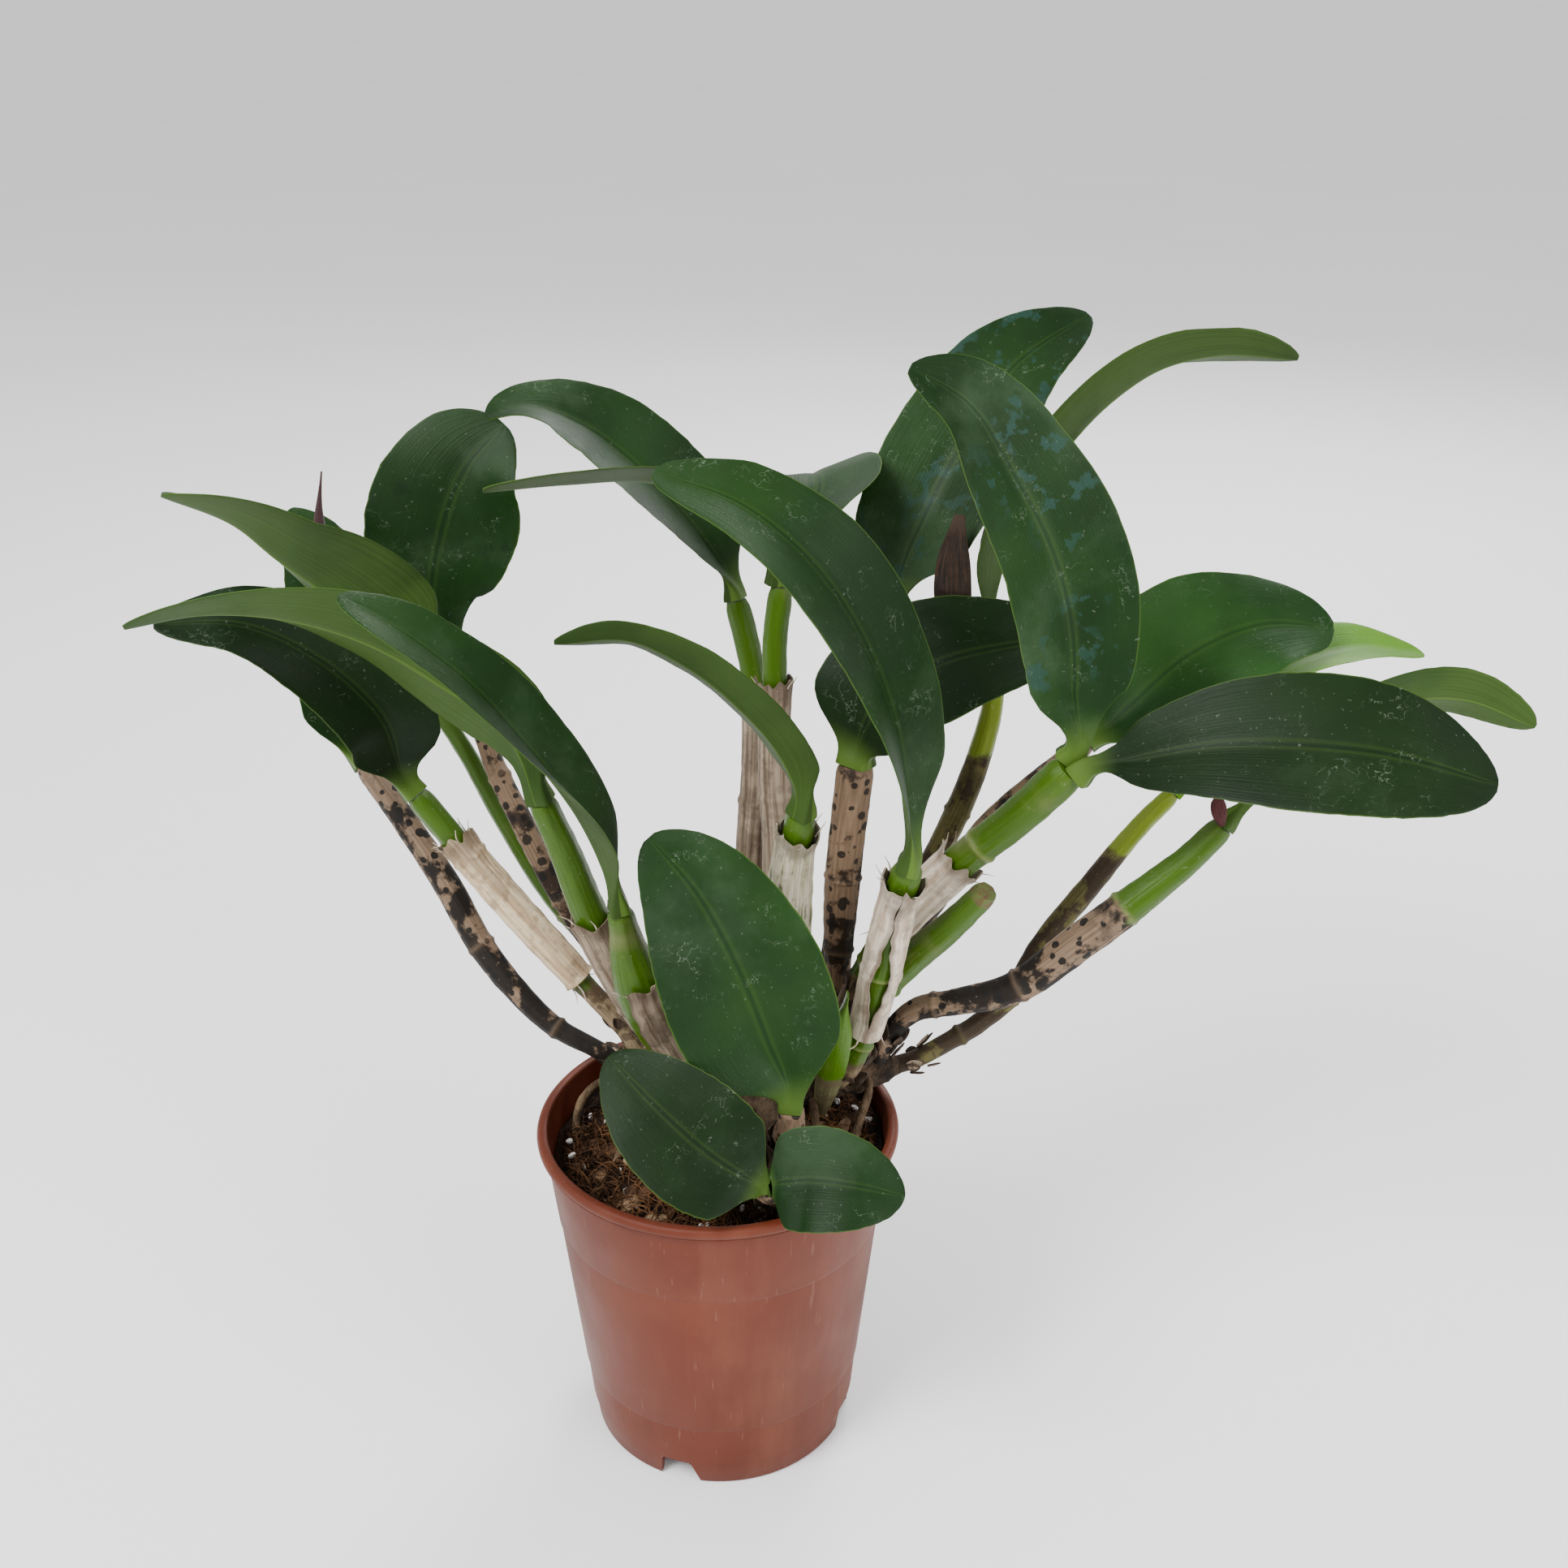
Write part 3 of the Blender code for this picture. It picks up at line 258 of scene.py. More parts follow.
SPATHES = (
    Spathe("spathe_left_young", 8.0, 3.0, (0.3, -0.6, 0.7), "young_spathe",
           ((-120.0, 65, 216), (-126, 74, 238), (-133, 85, 270), (-135, 90, 296), (-133, 92, 311))),
    Spathe("spathe_right_dry", 12.0, 1.6, (-0.1, -1.0, 0.2), "dark_spathe",
           ((83.6, 54, 262), (77, 49, 275), (75.5, 47.5, 293), (77, 49, 308))),
    Spathe("stub_right", 2.8, 2.6, (0.0, -1.0, 0.0), "cut_stub",
           ((113, 5, 244.5), (115, 6, 251), (116, 6, 259))),
    Spathe("bract_far_right", 5.0, 1.6, (-0.2, -0.8, 0.5), "cut_stub",
           ((159.6, 10.4, 218.5), (158, 10, 224), (157, 11, 230))),
)
LEAVES = (
    Leaf("leaf_front", "bulb_front", (0, 0), 53, (22, 6), 0, ((-0.1, -0.85, 0.5), (-0.1, -0.8, 0.6)),
         ((17, -26, 162), (6, -23, 191), (-5, -19, 211), (-19, -13, 226))),
    Leaf("leaf_front_left_low", "bulb_front_low", (-2.9, 0), 39, (16, 4), 0,
         ((-0.1, -0.75, 0.65), (-0.2, -0.7, 0.7)), ((1, -50, 136), (-16, -42, 148), (-32, -31, 160))),
    Leaf("leaf_front_right_low", "bulb_front_low", (2.9, 0), 32, (12, 4), 0,
         ((0.1, -0.7, 0.7), (0.2, -0.7, 0.7)), ((30, -57, 133), (43, -61, 134), (58, -61, 130))),
    Leaf("leaf_left_folded", "bulb_fat_green", (0, 0), 34, (36, 12), 0,
         ((0.7, 0.1, 0.7), (0.1, -0.5, 0.85)),
         ((-38, -12, 230), (-52, -18, 256), (-69, -24, 281), (-84, -30, 297), (-99, -36, 309))),
    Leaf("leaf_left_arching", "bulb_left_green", (0, 0), 40, (20, 12), 0,
         ((0.4, 1.0, -0.1), (0.1, 0.3, 0.9)),
         ((-61, 3, 252), (-81, 0, 271), (-100, -4, 285), (-122, -9, 294), (-143, -14, 297),
          (-165, -18, 294))),
    Leaf("leaf_left_dark", "bulb_left_tan", (0, 0), 36, (22, 10), 0,
         ((0.3, -0.7, 0.6), (0.0, -0.5, 0.85)),
         ((-105, 27, 248), (-121, 24, 268), (-142, 18, 282), (-167, 10, 285))),
    Leaf("leaf_left_high", "bulb_left_slim", (0, 0), 56, (32, 14), 0,
         ((0.36, 0.93, 0.08), (0.2, 0.3, 0.95)),
         ((-106, 61, 258), (-117, 58, 271), (-128, 54, 283), (-139, 50, 294), (-149, 45, 306),
          (-168, 36, 318))),
    Leaf("leaf_left_upright", "bulb_left_spotted", (0, 0), 52, (12, 6), 0.8,
         ((0.2, -0.85, 0.4), (0.1, -0.75, 0.65)),
         ((-97, 81, 266), (-94, 87, 290), (-84, 92, 313), (-71, 96, 326)), "leaf", 0.58),
    Leaf("leaf_back_arching", "bulb_centre_tall", (0, 0), 42, (26, 12), 0,
         ((0.9, -0.3, 0.35), (-0.3, -0.4, 0.85)),
         ((-2, 69, 290), (-13, 71, 304), (-27, 72, 319), (-42, 71, 331), (-55, 68, 337), (-65, 63, 338),
          (-71, 59, 336)), "leaf", 0.36),
    Leaf("leaf_edge_on", "bulb_centre_rear", (-2.4, 0), 36, (10, 8), 0,
         ((0.6, 0.3, 0.7), (0.0, 0.4, 0.9)),
         ((10, 39, 310), (-2, 36, 318), (-19, 31, 324), (-42, 24, 325), (-67, 18, 324))),
    Leaf("leaf_centre_long", "bulb_front_split", (0, 0), 44, (22, 12), 0,
         ((0.95, -0.3, 0.2), (0.25, -0.6, 0.75)),
         ((58, -23, 240), (54, -26, 265), (46, -28, 289), (35, -29, 309), (25, -29, 321), (12, -27, 331),
          (-14, -20, 339))),
    Leaf("leaf_behind_centre", "bulb_centre_rear", (2.7, 0.6), 44, (12, 8), 0,
         ((-0.5, 0.0, 0.8), (0.0, -0.35, 0.95)),
         ((26, 50, 303), (33, 61, 312), (33, 74, 314), (31, 87, 311), (29, 98, 304))),
    Leaf("leaf_centre_small", "bulb_centre_white", (0, 0), 27, (16, 10), 0,
         ((0.7, 0.55, 0.4), (0.2, 0.6, 0.7)),
         ((23, -13, 250), (9, -19, 271), (-4, -21, 283), (-21, -22, 292), (-43, -22, 291))),
    Leaf("leaf_centre_dark", "bulb_centre_brown", (0, 0), 46, (18, 8), 0,
         ((-0.5, -0.75, 0.4), (-0.1, -0.6, 0.8)),
         ((47, 29, 243), (55, 30, 256), (71, 32, 265), (92, 36, 269), (116, 42, 270)), "leaf", 0.34),
    Leaf("leaf_right_upright", "bulb_right_double", (-2.8, 2.8), 44, (24, 14), 0,
         ((0.1, -0.95, 0.2), (0.4, -0.7, 0.6)),
         ((109, 4, 266), (107, 6, 287), (101, 8, 307), (88, 10, 331), (74, 12, 351), (57, 12, 361)),
         "leaf", 0.48),
    Leaf("leaf_top", "bulb_rear_slim", (0, 0), 46, (20, 10), 0, ((-0.25, -0.75, 0.6), (-0.2, -0.7, 0.7)),
         ((61, 63, 288), (69, 69, 305), (80, 78, 324), (96, 88, 346), (122, 100, 361))),
    Leaf("leaf_top_right", "bulb_right_olive", (0, 0), 40, (34, 12), 0,
         ((-0.85, 0.05, 0.5), (-0.1, 0.6, 0.8)),
         ((91, 58, 286), (98, 60, 307), (110, 61, 326), (124, 63, 341), (139, 64, 351), (156, 65, 355),
          (183, 68, 353))),
    Leaf("leaf_right_wavy", "bulb_right_hidden", (0, 0), 54, (16, 6), 1.5,
         ((-0.4, -0.7, 0.6), (-0.1, -0.55, 0.85)),
         ((133, 44, 244), (155, 50, 262), (177, 54, 270), (202, 58, 267)), "leaf", 0.36),
    Leaf("leaf_right_broad", "bulb_right_double", (3.0, -3.0), 44, (16, 4), 0,
         ((-0.2, -0.8, 0.6), (0.1, -0.65, 0.75)),
         ((127, -9, 250), (148, -18, 258), (169, -25, 261), (191, -31, 261), (224, -36, 253)), "leaf", 0.62),
    Leaf("leaf_right_bright", "bulb_right_low", (0, 0), 38, (24, 14), 0,
         ((-0.4, 0.1, 0.9), (-0.1, -0.2, 1.0)),
         ((165, 50, 235), (187, 58, 252), (213, 64, 258), (237, 70, 254)), "bright_leaf"),
    Leaf("leaf_far_right", "bulb_far_right", (0, 0), 26, (16, 10), 0,
         ((-0.3, 0.7, 0.65), (0.0, 0.8, 0.5)),
         ((172, 16, 227), (184, 16, 239), (198, 18, 250), (214, 20, 257), (234, 22, 257), (256, 18, 249)),
         "leaf", 0.6),
    Leaf("leaf_left_hidden", "bulb_left_dark", (0, 0), 38, (18, 8), 0,
         ((0.3, -0.6, 0.7), (0.2, -0.5, 0.85)),
         ((-129, 84, 244), (-134, 93, 266), (-141, 101, 284), (-149, 108, 294))),
)

# Where each cane changes from dry rind to live green, as a share of its length. Above 1 it is all dry.
RIND_END = {
    "bulb_left_dark": 1.2, "bulb_left_tan": 0.36, "bulb_left_slim": 0.15, "bulb_left_spotted": 1.2,
    "bulb_left_green": 0.4, "bulb_fat_green": 0.28, "bulb_centre_white": 0.5, "bulb_centre_tall": 0.6,
    "bulb_centre_rear": 0.6, "bulb_centre_brown": 1.2, "bulb_front_split": 0.2, "bulb_right_double": 0.25,
    "bulb_cut_green": 0.3, "bulb_right_olive": 0.74, "bulb_right_hidden": 1.2, "bulb_rear_slim": 1.2,
    "bulb_right_low": 0.8, "bulb_far_right": 0.72, "bulb_front": 1.2, "bulb_front_low": 1.2,
}
# How far the dark patches take over towards the foot of some canes.
DARK_FEET = {
    "bulb_left_dark": 0.13, "bulb_far_right": 0.08, "bulb_right_low": 0.09, "bulb_right_hidden": 0.14,
    "bulb_left_spotted": 0.1, "bulb_centre_brown": 0.08, "bulb_rear_slim": 0.1,
}
# Each kind of rind: its tone, its dark tone and how black its spots are.
RINDS = {
    "dark_bulb": ((0.21, 0.14, 0.09), (0.003, 0.002, 0.0015), 0.97),
    "brown_bulb": ((0.2, 0.13, 0.08), (0.018, 0.01, 0.006), 0.9),
    "green_bulb": ((0.26, 0.19, 0.11), (0.07, 0.045, 0.025), 0.5),
    "olive_bulb": ((0.105, 0.09, 0.028), (0.03, 0.018, 0.01), 0.1),
}
OLIVE_LIVE = (0.13, 0.18, 0.008)
# The young spathe and the fresh shoot: live tone, rind, dark rind and where the change lies.
SPATHE_YOUNG = ((0.045, 0.02, 0.022), (0.16, 0.18, 0.07), (0.15, 0.1, 0.08), 0.45)
SHOOT_GREEN = ((0.05, 0.12, 0.003), (0.16, 0.15, 0.07), (0.1, 0.08, 0.04), 0.4)
# Each papery material: its pale and its dark tone.
PAPERS = {
    "sheath_pale": ((0.7, 0.61, 0.49), (0.4, 0.3, 0.21)),
    "sheath_netted": ((0.64, 0.58, 0.46), (0.36, 0.32, 0.2)),
    "sheath_tan": ((0.72, 0.58, 0.38), (0.38, 0.25, 0.14)),
    "sheath_drab": ((0.36, 0.28, 0.2), (0.12, 0.08, 0.05)),
    "bract_dark": ((0.1, 0.065, 0.045), (0.03, 0.018, 0.012)),
    "bract_red": ((0.09, 0.018, 0.018), (0.03, 0.008, 0.007)),
    "spathe_dry": ((0.04, 0.02, 0.01), (0.006, 0.003, 0.002)),
}
# Sheaths that aren't tan.
SHEATH_KINDS = {
    "sheath_left_green": "sheath_drab", "sheath_fat_green": "sheath_drab",
    "sheath_centre_rear": "sheath_drab", "sheath_centre_tall": "sheath_drab",
    "sheath_centre_white": "sheath_netted", "sheath_front_split": "sheath_pale",
    "sheath_right_double": "sheath_pale",
}
# Each woody or earthy material: its dark tone, its light tone and how fine it is.
BARKS = {
    "mix_soil": ((0.004, 0.0025, 0.002), (0.026, 0.013, 0.007), 160.0),
    "bark_tan": ((0.13, 0.075, 0.04), (0.34, 0.23, 0.14), 90.0),
    "bark_brown": ((0.02, 0.011, 0.007), (0.09, 0.045, 0.024), 90.0),
    "coir": ((0.016, 0.007, 0.004), (0.15, 0.07, 0.03), 60.0),
    "perlite": ((0.6, 0.58, 0.54), (0.82, 0.8, 0.76), 300.0),
    "rhizome_rind": ((0.012, 0.008, 0.006), (0.09, 0.06, 0.038), 120.0),
    "root_rind": ((0.03, 0.018, 0.01), (0.15, 0.1, 0.06), 140.0),
}
# Leaves that aren't plain dark green: the darker copy of the plain tones is painted shade, the lighter copy
# painted light.
# The bright leaf's tones are a painted glow of light shining through it.
LEAF_KINDS = {
    "leaf_left_dark": "painted_shade", "leaf_centre_dark": "painted_shade", "leaf_right_broad": "painted_shade",
    "leaf_front_left_low": "painted_shade", "leaf_right_bright": "young_and_painted_glow", "leaf_right_upright": "stained",
    "leaf_top": "stained", "leaf_left_upright": "wet", "leaf_right_wavy": "painted_light",
    "leaf_far_right": "painted_light", "leaf_left_high": "painted_light", "leaf_left_arching": "painted_light",
}
# Four tones of the bright leaf, a painted glow of light shining through it: dark, light, underside and rim.
PAINTED_GLOW_TONES = ((0.04, 0.14, 0.0), (0.08, 0.21, 0.0), (0.08, 0.19, 0.0), (0.12, 0.23, 0.01))

# A new shoot that shows between the front canes, and old bark flakes behind the low leaf.
FRESH_SHOOT = Spathe("fresh_shoot", 10.0, 8.0, (0.1, -1.0, 0.2), "green_bulb",
                     ((34.0, 8.0, 112.0), (36.5, 0.0, 130.0), (39.5, -7.0, 152.0), (42.0, -11.0, 170.0)))
FLAKE_PLACES = (
    (34, -8, 5), (41, -2, 6), (37, 3, 5), (45, -9, 5),
    (30, -14, 4), (47, 4, 4), (25, -46, 6), (13, -49, 5),
)
# Loose flaps between the low leaves: start, direction, length and width.
LOOSE_FLAPS = (
    ((20.0, -37.0, 107.0), (0.15, -0.35, 1.0), 13.0, 7.0),
    ((15.0, -36.0, 107.0), (-0.3, -0.3, 1.0), 9.0, 4.0),
    ((27.0, -31.0, 108.0), (0.5, -0.3, 0.8), 8.0, 5.0),
)
# Sheaths that close round their cane above and below a split.
CLOSED_SHEATHS = ("sheath_front_split", "sheath_centre_white")
# Lamps: name, place and size in metres, and gain on the lamp power of the settings.
LAMPS = (
    ("key_lamp", (-0.9, -0.9, 1.5), 0.9, 2.2),
    ("fill_lamp", (1.2, -1.0, 0.8), 1.2, 1.0),
    ("rim_lamp", (0.5, 1.3, 1.2), 0.8, 1.0),
)


def unit(vector):
    """The vector at length one."""
    return np.asarray(vector, float) / np.linalg.norm(vector)


def ease(value):
    """A smooth rise from 0 to 1."""
    value = np.clip(value, 0.0, 1.0)
    return value * value * (3.0 - 2.0 * value)


def lump(point, scale, seed=0.0):
    """Smooth noise from -1 to 1 at a point in millimetres."""
    return noise.noise(Vector(point) * scale + Vector((seed * 3.7, seed * 1.3, seed * 2.1)))


def smooth_path(points, fractions, start=None):
    """Points and unit tangents at fractions of the length of a smooth curve through points."""
    points = np.array(points, float)
    knots = np.concatenate(([0.0], np.cumsum(np.linalg.norm(np.diff(points, axis=0), axis=1))))
    slopes = np.gradient(points, knots, axis=0)
    if start is not None:
        slopes[0] = start
    dense = []
    for i in range(len(points) - 1):
        span = knots[i + 1] - knots[i]
        for t in np.linspace(0.0, 1.0, CURVE_STEPS, endpoint=i == len(points) - 2):
            dense.append(
                (2 * t**3 - 3 * t**2 + 1) * points[i] + (t**3 - 2 * t**2 + t) * span * slopes[i]
                + (3 * t**2 - 2 * t**3) * points[i + 1] + (t**3 - t**2) * span * slopes[i + 1]
            )
    dense = np.array(dense)
    length = np.concatenate(([0.0], np.cumsum(np.linalg.norm(np.diff(dense, axis=0), axis=1))))
    wanted = np.array(fractions) * length[-1]
    tangents = np.gradient(dense, length, axis=0)
    places = np.stack([np.interp(wanted, length, dense[:, k]) for k in range(3)], axis=1)
    aims = np.stack([np.interp(wanted, length, tangents[:, k]) for k in range(3)], axis=1)
    return places, aims / np.linalg.norm(aims, axis=1)[:, None]


def carried_axes(tangents):
    """Two directions across a path at each of its points, carried along it without twist."""
    helper = (0.0, 1.0, 0.0) if abs(tangents[0][1]) < 0.9 else (1.0, 0.0, 0.0)
    across = unit(np.cross(helper, tangents[0]))
    pairs = []
    for tangent in tangents:
        across = unit(across - tangent * np.dot(across, tangent))
        pairs.append((across, np.cross(tangent, across)))
    return pairs


def add_object(name, data):
    """An object with this data, in the scene."""
    made = bpy.data.objects.new(name, data)
    bpy.context.scene.collection.objects.link(made)
    return made


def make_piece(name, vertices, faces, material, values=None, nodes=(), slot=None, sharp=50):
    """A smooth-shaded piece, kept in the box of the plain solids, with values on its points."""
    mesh = bpy.data.meshes.new(name)
    inside = np.clip(np.asarray(vertices, float) * MM, CAD_BOX[0], CAD_BOX[1])
    mesh.from_pydata([tuple(v) for v in inside], [], faces)
    mesh.update()
    mesh.shade_smooth()
    mesh.set_sharp_from_angle(angle=math.radians(sharp))
    for key, numbers in (values or {}).items():
        layer = mesh.attributes.new(key, "FLOAT", "POINT")
        layer.data.foreach_set("value", np.asarray(numbers, np.float32))
    mesh.materials.append(material)
    piece = add_object(name, mesh)
    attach(piece, "root")
    if nodes:
        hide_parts(*nodes)
    return piece


def tube_faces(rows, sides):
    """Side quads and end caps of a tube."""
    faces = []
    for low in range(0, (rows - 1) * sides, sides):
        for k in range(sides):
            n = (k + 1) % sides
            faces.append((low + k, low + n, low + sides + n, low + sides + k))
    faces.append(tuple(reversed(range(sides))))
    faces.append(tuple((rows - 1) * sides + k for k in range(sides)))
    return faces


def slab_faces(rows, lanes):
    """Faces of a thin slab whose two sides are grids."""
    under = rows * lanes
    faces = []
    for i in range(rows - 1):
        for j in range(lanes - 1):
            a, b = i * lanes + j, i * lanes + j + 1
            c, d = (i + 1) * lanes + j + 1, (i + 1) * lanes + j
            faces += [(a, b, c, d), (under + d, under + c, under + b, under + a)]
    border = [(0, j) for j in range(lanes)] + [(i, lanes - 1) for i in range(1, rows)]
    border += [(rows - 1, j) for j in range(lanes - 2, -1, -1)] + [(i, 0) for i in range(rows - 2, 0, -1)]
    for (i, j), (k, m) in zip(border, border[1:] + border[:1]):
        a, b = i * lanes + j, k * lanes + m
        faces.append((b, a, under + a, under + b))
    return faces


# Shaders


def opaque(colour, gain=1.0):
    """A colour, darker or lighter by a gain, with full cover."""
    return tuple(min(1.0, gain * c) for c in colour[:3]) + (1.0,)


class Wires:
    """Adds nodes to one node tree and feeds each input by a value or a socket."""

    def __init__(self, tree):
        self.tree = tree

    def node(self, kind, inputs=None, **settings):
        """A new node with its settings, each input linked or set."""
        made = self.tree.nodes.new(kind)
        for name, value in settings.items():
            setattr(made, name, value)
        for key, value in (inputs or {}).items():
            if isinstance(value, bpy.types.NodeSocket):
                self.tree.links.new(value, made.inputs[key])
            else:
                made.inputs[key].default_value = value
        return made

    def math(self, operation, a, b=0.0):
        """One arithmetic step."""
        return self.node("ShaderNodeMath", {0: a, 1: b}, operation=operation).outputs[0]

    def times(self, a, b):
        """The product of two values."""
        return self.math("MULTIPLY", a, b)

    def plus(self, a, b):
        """The sum of two values."""
        return self.math("ADD", a, b)

    def ramp(self, value, low, high, start=0.0, end=1.0):
        """A smooth step from start to end while the value goes from low to high."""
        inputs = {"Value": value, "From Min": low, "From Max": high, "To Min": start, "To Max": end}
        return self.node("ShaderNodeMapRange", inputs, interpolation_type="SMOOTHSTEP").outputs[0]

    def mix(self, factor, a, b):
        """Colour a turned into colour b by a factor."""
        return self.node("ShaderNodeMix", {0: factor, 6: a, 7: b}, data_type="RGBA").outputs[2]

    def lay(self, colour, tone, mask, amount):
        """A colour with a tone laid over it where a mask is, as strongly as the amount."""
        return self.mix(self.times(mask, amount), colour, tone)

    def noise(self, vector, scale, detail=3.0, rough=0.55):
        """Cloudy noise around one half."""
        inputs = {"Vector": vector, "Scale": scale, "Detail": detail, "Roughness": rough}
        return self.node("ShaderNodeTexNoise", inputs).outputs["Fac"]

    def attribute(self, name):
        """A value kept on the mesh's points."""
        return self.node("ShaderNodeAttribute", attribute_name=name).outputs["Fac"]

    def place(self):
        """The place on the piece, in metres."""
        return self.node("ShaderNodeTexCoord").outputs["Object"]

    def stretched(self, vector, scale, rotation=(0.0, 0.0, 0.0)):
        """A place turned and scaled for noise with a direction."""
        inputs = {"Vector": vector, "Rotation": rotation, "Scale": scale}
        return self.node("ShaderNodeMapping", inputs).outputs[0]

    def vector(self, x, y, z=0.0):
        """A vector from three values."""
        return self.node("ShaderNodeCombineXYZ", {0: x, 1: y, 2: z}).outputs[0]

    def group(self, tree, **inputs):
        """The outputs of a node group placed with these inputs."""
        return self.node("ShaderNodeGroup", inputs, node_tree=tree).outputs


def group(name, inputs, outputs, fill):
    """A shader node group with named number or vector inputs and outputs, made once."""
    if name in bpy.data.node_groups:
        return bpy.data.node_groups[name]
    tree = bpy.data.node_groups.new(name, "ShaderNodeTree")
    for label, value in inputs.items():
        kind = "NodeSocketVector" if value is None else "NodeSocketFloat"
        socket = tree.interface.new_socket(label, in_out="INPUT", socket_type=kind)
        if value is not None:
            socket.default_value = value
    for label in outputs:
        tree.interface.new_socket(label, in_out="OUTPUT", socket_type="NodeSocketFloat")
    wires = Wires(tree)
    source = wires.node("NodeGroupInput")
    wires.node("NodeGroupOutput", fill(wires, source.outputs))
    return tree


def fill_streaks(w, given):
    """Fine lines that run along a leaf, cane or sheath."""
    wide = w.times(given["Across"], given["Count"])
    long = w.times(given["Along"], given["Stretch"])
    raw = w.noise(w.vector(wide, long, given["Seed"]), 1.0, 4.0, 0.6)
    return {"Lines": w.ramp(raw, 0.35, 0.68)}


def fill_film(w, given):
    """Dry water film, pale hairline trails and grains on a surface."""
    trail = w.noise(given["Place"], 190.0, 3.0, 0.6)
    line = w.ramp(w.math("ABSOLUTE", w.math("SUBTRACT", trail, 0.5)), 0.0, 0.011, 1.0, 0.0)
    where = w.ramp(w.noise(given["Place"], 80.0, 4.0, 0.6), 0.52, 0.68)
    grains = w.ramp(w.noise(given["Place"], 800.0, 2.0), 0.69, 0.75)
    film = w.ramp(w.noise(given["Place"], 24.0, 5.0, 0.62), 0.5, 0.72)
    return {"Hairs": w.times(line, where), "Film": film, "Grains": grains}


def fill_spots(w, given):
    """Dark irregular spots, and larger blotches, on dry rind."""
    cells = w.node("ShaderNodeTexVoronoi", {"Vector": given["Place"], "Scale": given["Scale"]})
    warp = w.noise(given["Place"], 260.0, 2.0)
    sizes = w.times(w.noise(given["Place"], 90.0, 3.0), 0.9)
    near = w.plus(cells.outputs["Distance"], w.times(warp, 0.4))
    spots = w.ramp(w.plus(near, sizes), 0.92, 1.0, 1.0, 0.0)
    cloud = w.plus(w.noise(given["Place"], 75.0, 5.0, 0.62), given["Dark"])
    return {"Spots": spots, "Blotches": w.ramp(cloud, 0.5, 0.58)}


def streaks(w, across, along, count, stretch, seed=0.0):
    """Mask of the fine lines along a piece."""
    inputs = {"Across": 0.0, "Along": 0.0, "Count": 12.0, "Stretch": 3.0, "Seed": 0.0}
    tree = group("plant_streaks", inputs, ("Lines",), fill_streaks)
    return w.group(tree, Across=across, Along=along, Count=count, Stretch=stretch, Seed=seed)["Lines"]


def film_masks(w, place):
    """Masks of hairlines, water film and grains."""
    tree = group("plant_film", {"Place": None}, ("Hairs", "Film", "Grains"), fill_film)
    return w.group(tree, Place=place)


def spot_masks(w, place, scale, dark=0.0):
    """Masks of spots and of blotches, which take over as dark rises."""
    inputs = {"Place": None, "Scale": 230.0, "Dark": 0.0}
    tree = group("rind_spots", inputs, ("Spots", "Blotches"), fill_spots)
    return w.group(tree, Place=place, Scale=scale, Dark=dark)


def new_material(name):
    """A material and the wires of its node tree."""
    made = bpy.data.materials.new(name)
    made.use_nodes = True
    return made, Wires(made.node_tree)


def finish_material(made, wires, colour, roughness, height, depth, strength, specular):
    """Feeds the shader's colour, roughness, bump and specular level."""
    shader = made.node_tree.nodes["Principled BSDF"]
    wires.tree.links.new(colour, shader.inputs["Base Color"])
    wires.tree.links.new(roughness, shader.inputs["Roughness"])
    inputs = {"Height": height, "Distance": depth, "Strength": strength}
    bump = wires.node("ShaderNodeBump", inputs)
    wires.tree.links.new(bump.outputs["Normal"], shader.inputs["Normal"])
    shader.inputs["Specular IOR Level"].default_value = specular
    return made


def leaf_upper(w, place, width, masks, tones, film_amount, stain):
    """Colour of a leaf's upper side: cloudy green, film, stains, painted shade and highlight at the midrib,
    pale rim and hairlines.
    """
    broad, lines, film = masks
    dark, light, _, rim = tones
    colour = w.lay(w.mix(broad, dark, light), light, lines, 0.08)
    colour = w.lay(colour, (0.06, 0.1, 0.055, 1.0), film["Film"], film_amount)
    if stain:
        patch = w.ramp(w.noise(place, 120.0, 4.0, 0.6), 0.54, 0.6)
        where = w.ramp(w.noise(place, 26.0, 2.0), 0.46, 0.6)
        colour = w.lay(colour, stain, w.times(patch, where), 0.6)
    # Painted shade: a dark line down the midrib groove.
    colour = w.mix(w.ramp(width, 0.0, 0.03, 0.5, 0.0), colour, dark)
    # Painted highlight: a faint band of the rim tone on the ridges beside the groove.
    painted_ridge_highlight = w.times(w.ramp(width, 0.02, 0.05), w.ramp(width, 0.05, 0.11, 0.08, 0.0))
    colour = w.mix(painted_ridge_highlight, colour, rim)
    colour = w.mix(w.ramp(width, 0.975, 1.0, 0.0, 0.45), colour, rim)
    colour = w.lay(colour, (0.26, 0.31, 0.24, 1.0), film["Hairs"], 0.28)
    colour = w.lay(colour, (0.4, 0.42, 0.36, 1.0), film["Grains"], 0.12)
    return w.mix(w.ramp(w.attribute("along"), 0.0, 0.13, 0.75, 0.0), colour, rim)


def leaf_lower(w, place, width, lines, tones):
    """Colour of a leaf's lower side: matte, paler and finely lined."""
    dark, _, under, rim = tones
    low = w.mix(lines, under, opaque(under, 0.72))
    low = w.mix(w.ramp(w.noise(place, 20.0, 3.0), 0.4, 0.7, 0.0, 0.5), low, dark)
    return w.mix(w.ramp(width, 0.0, 0.06, 0.6, 0.0), low, rim)


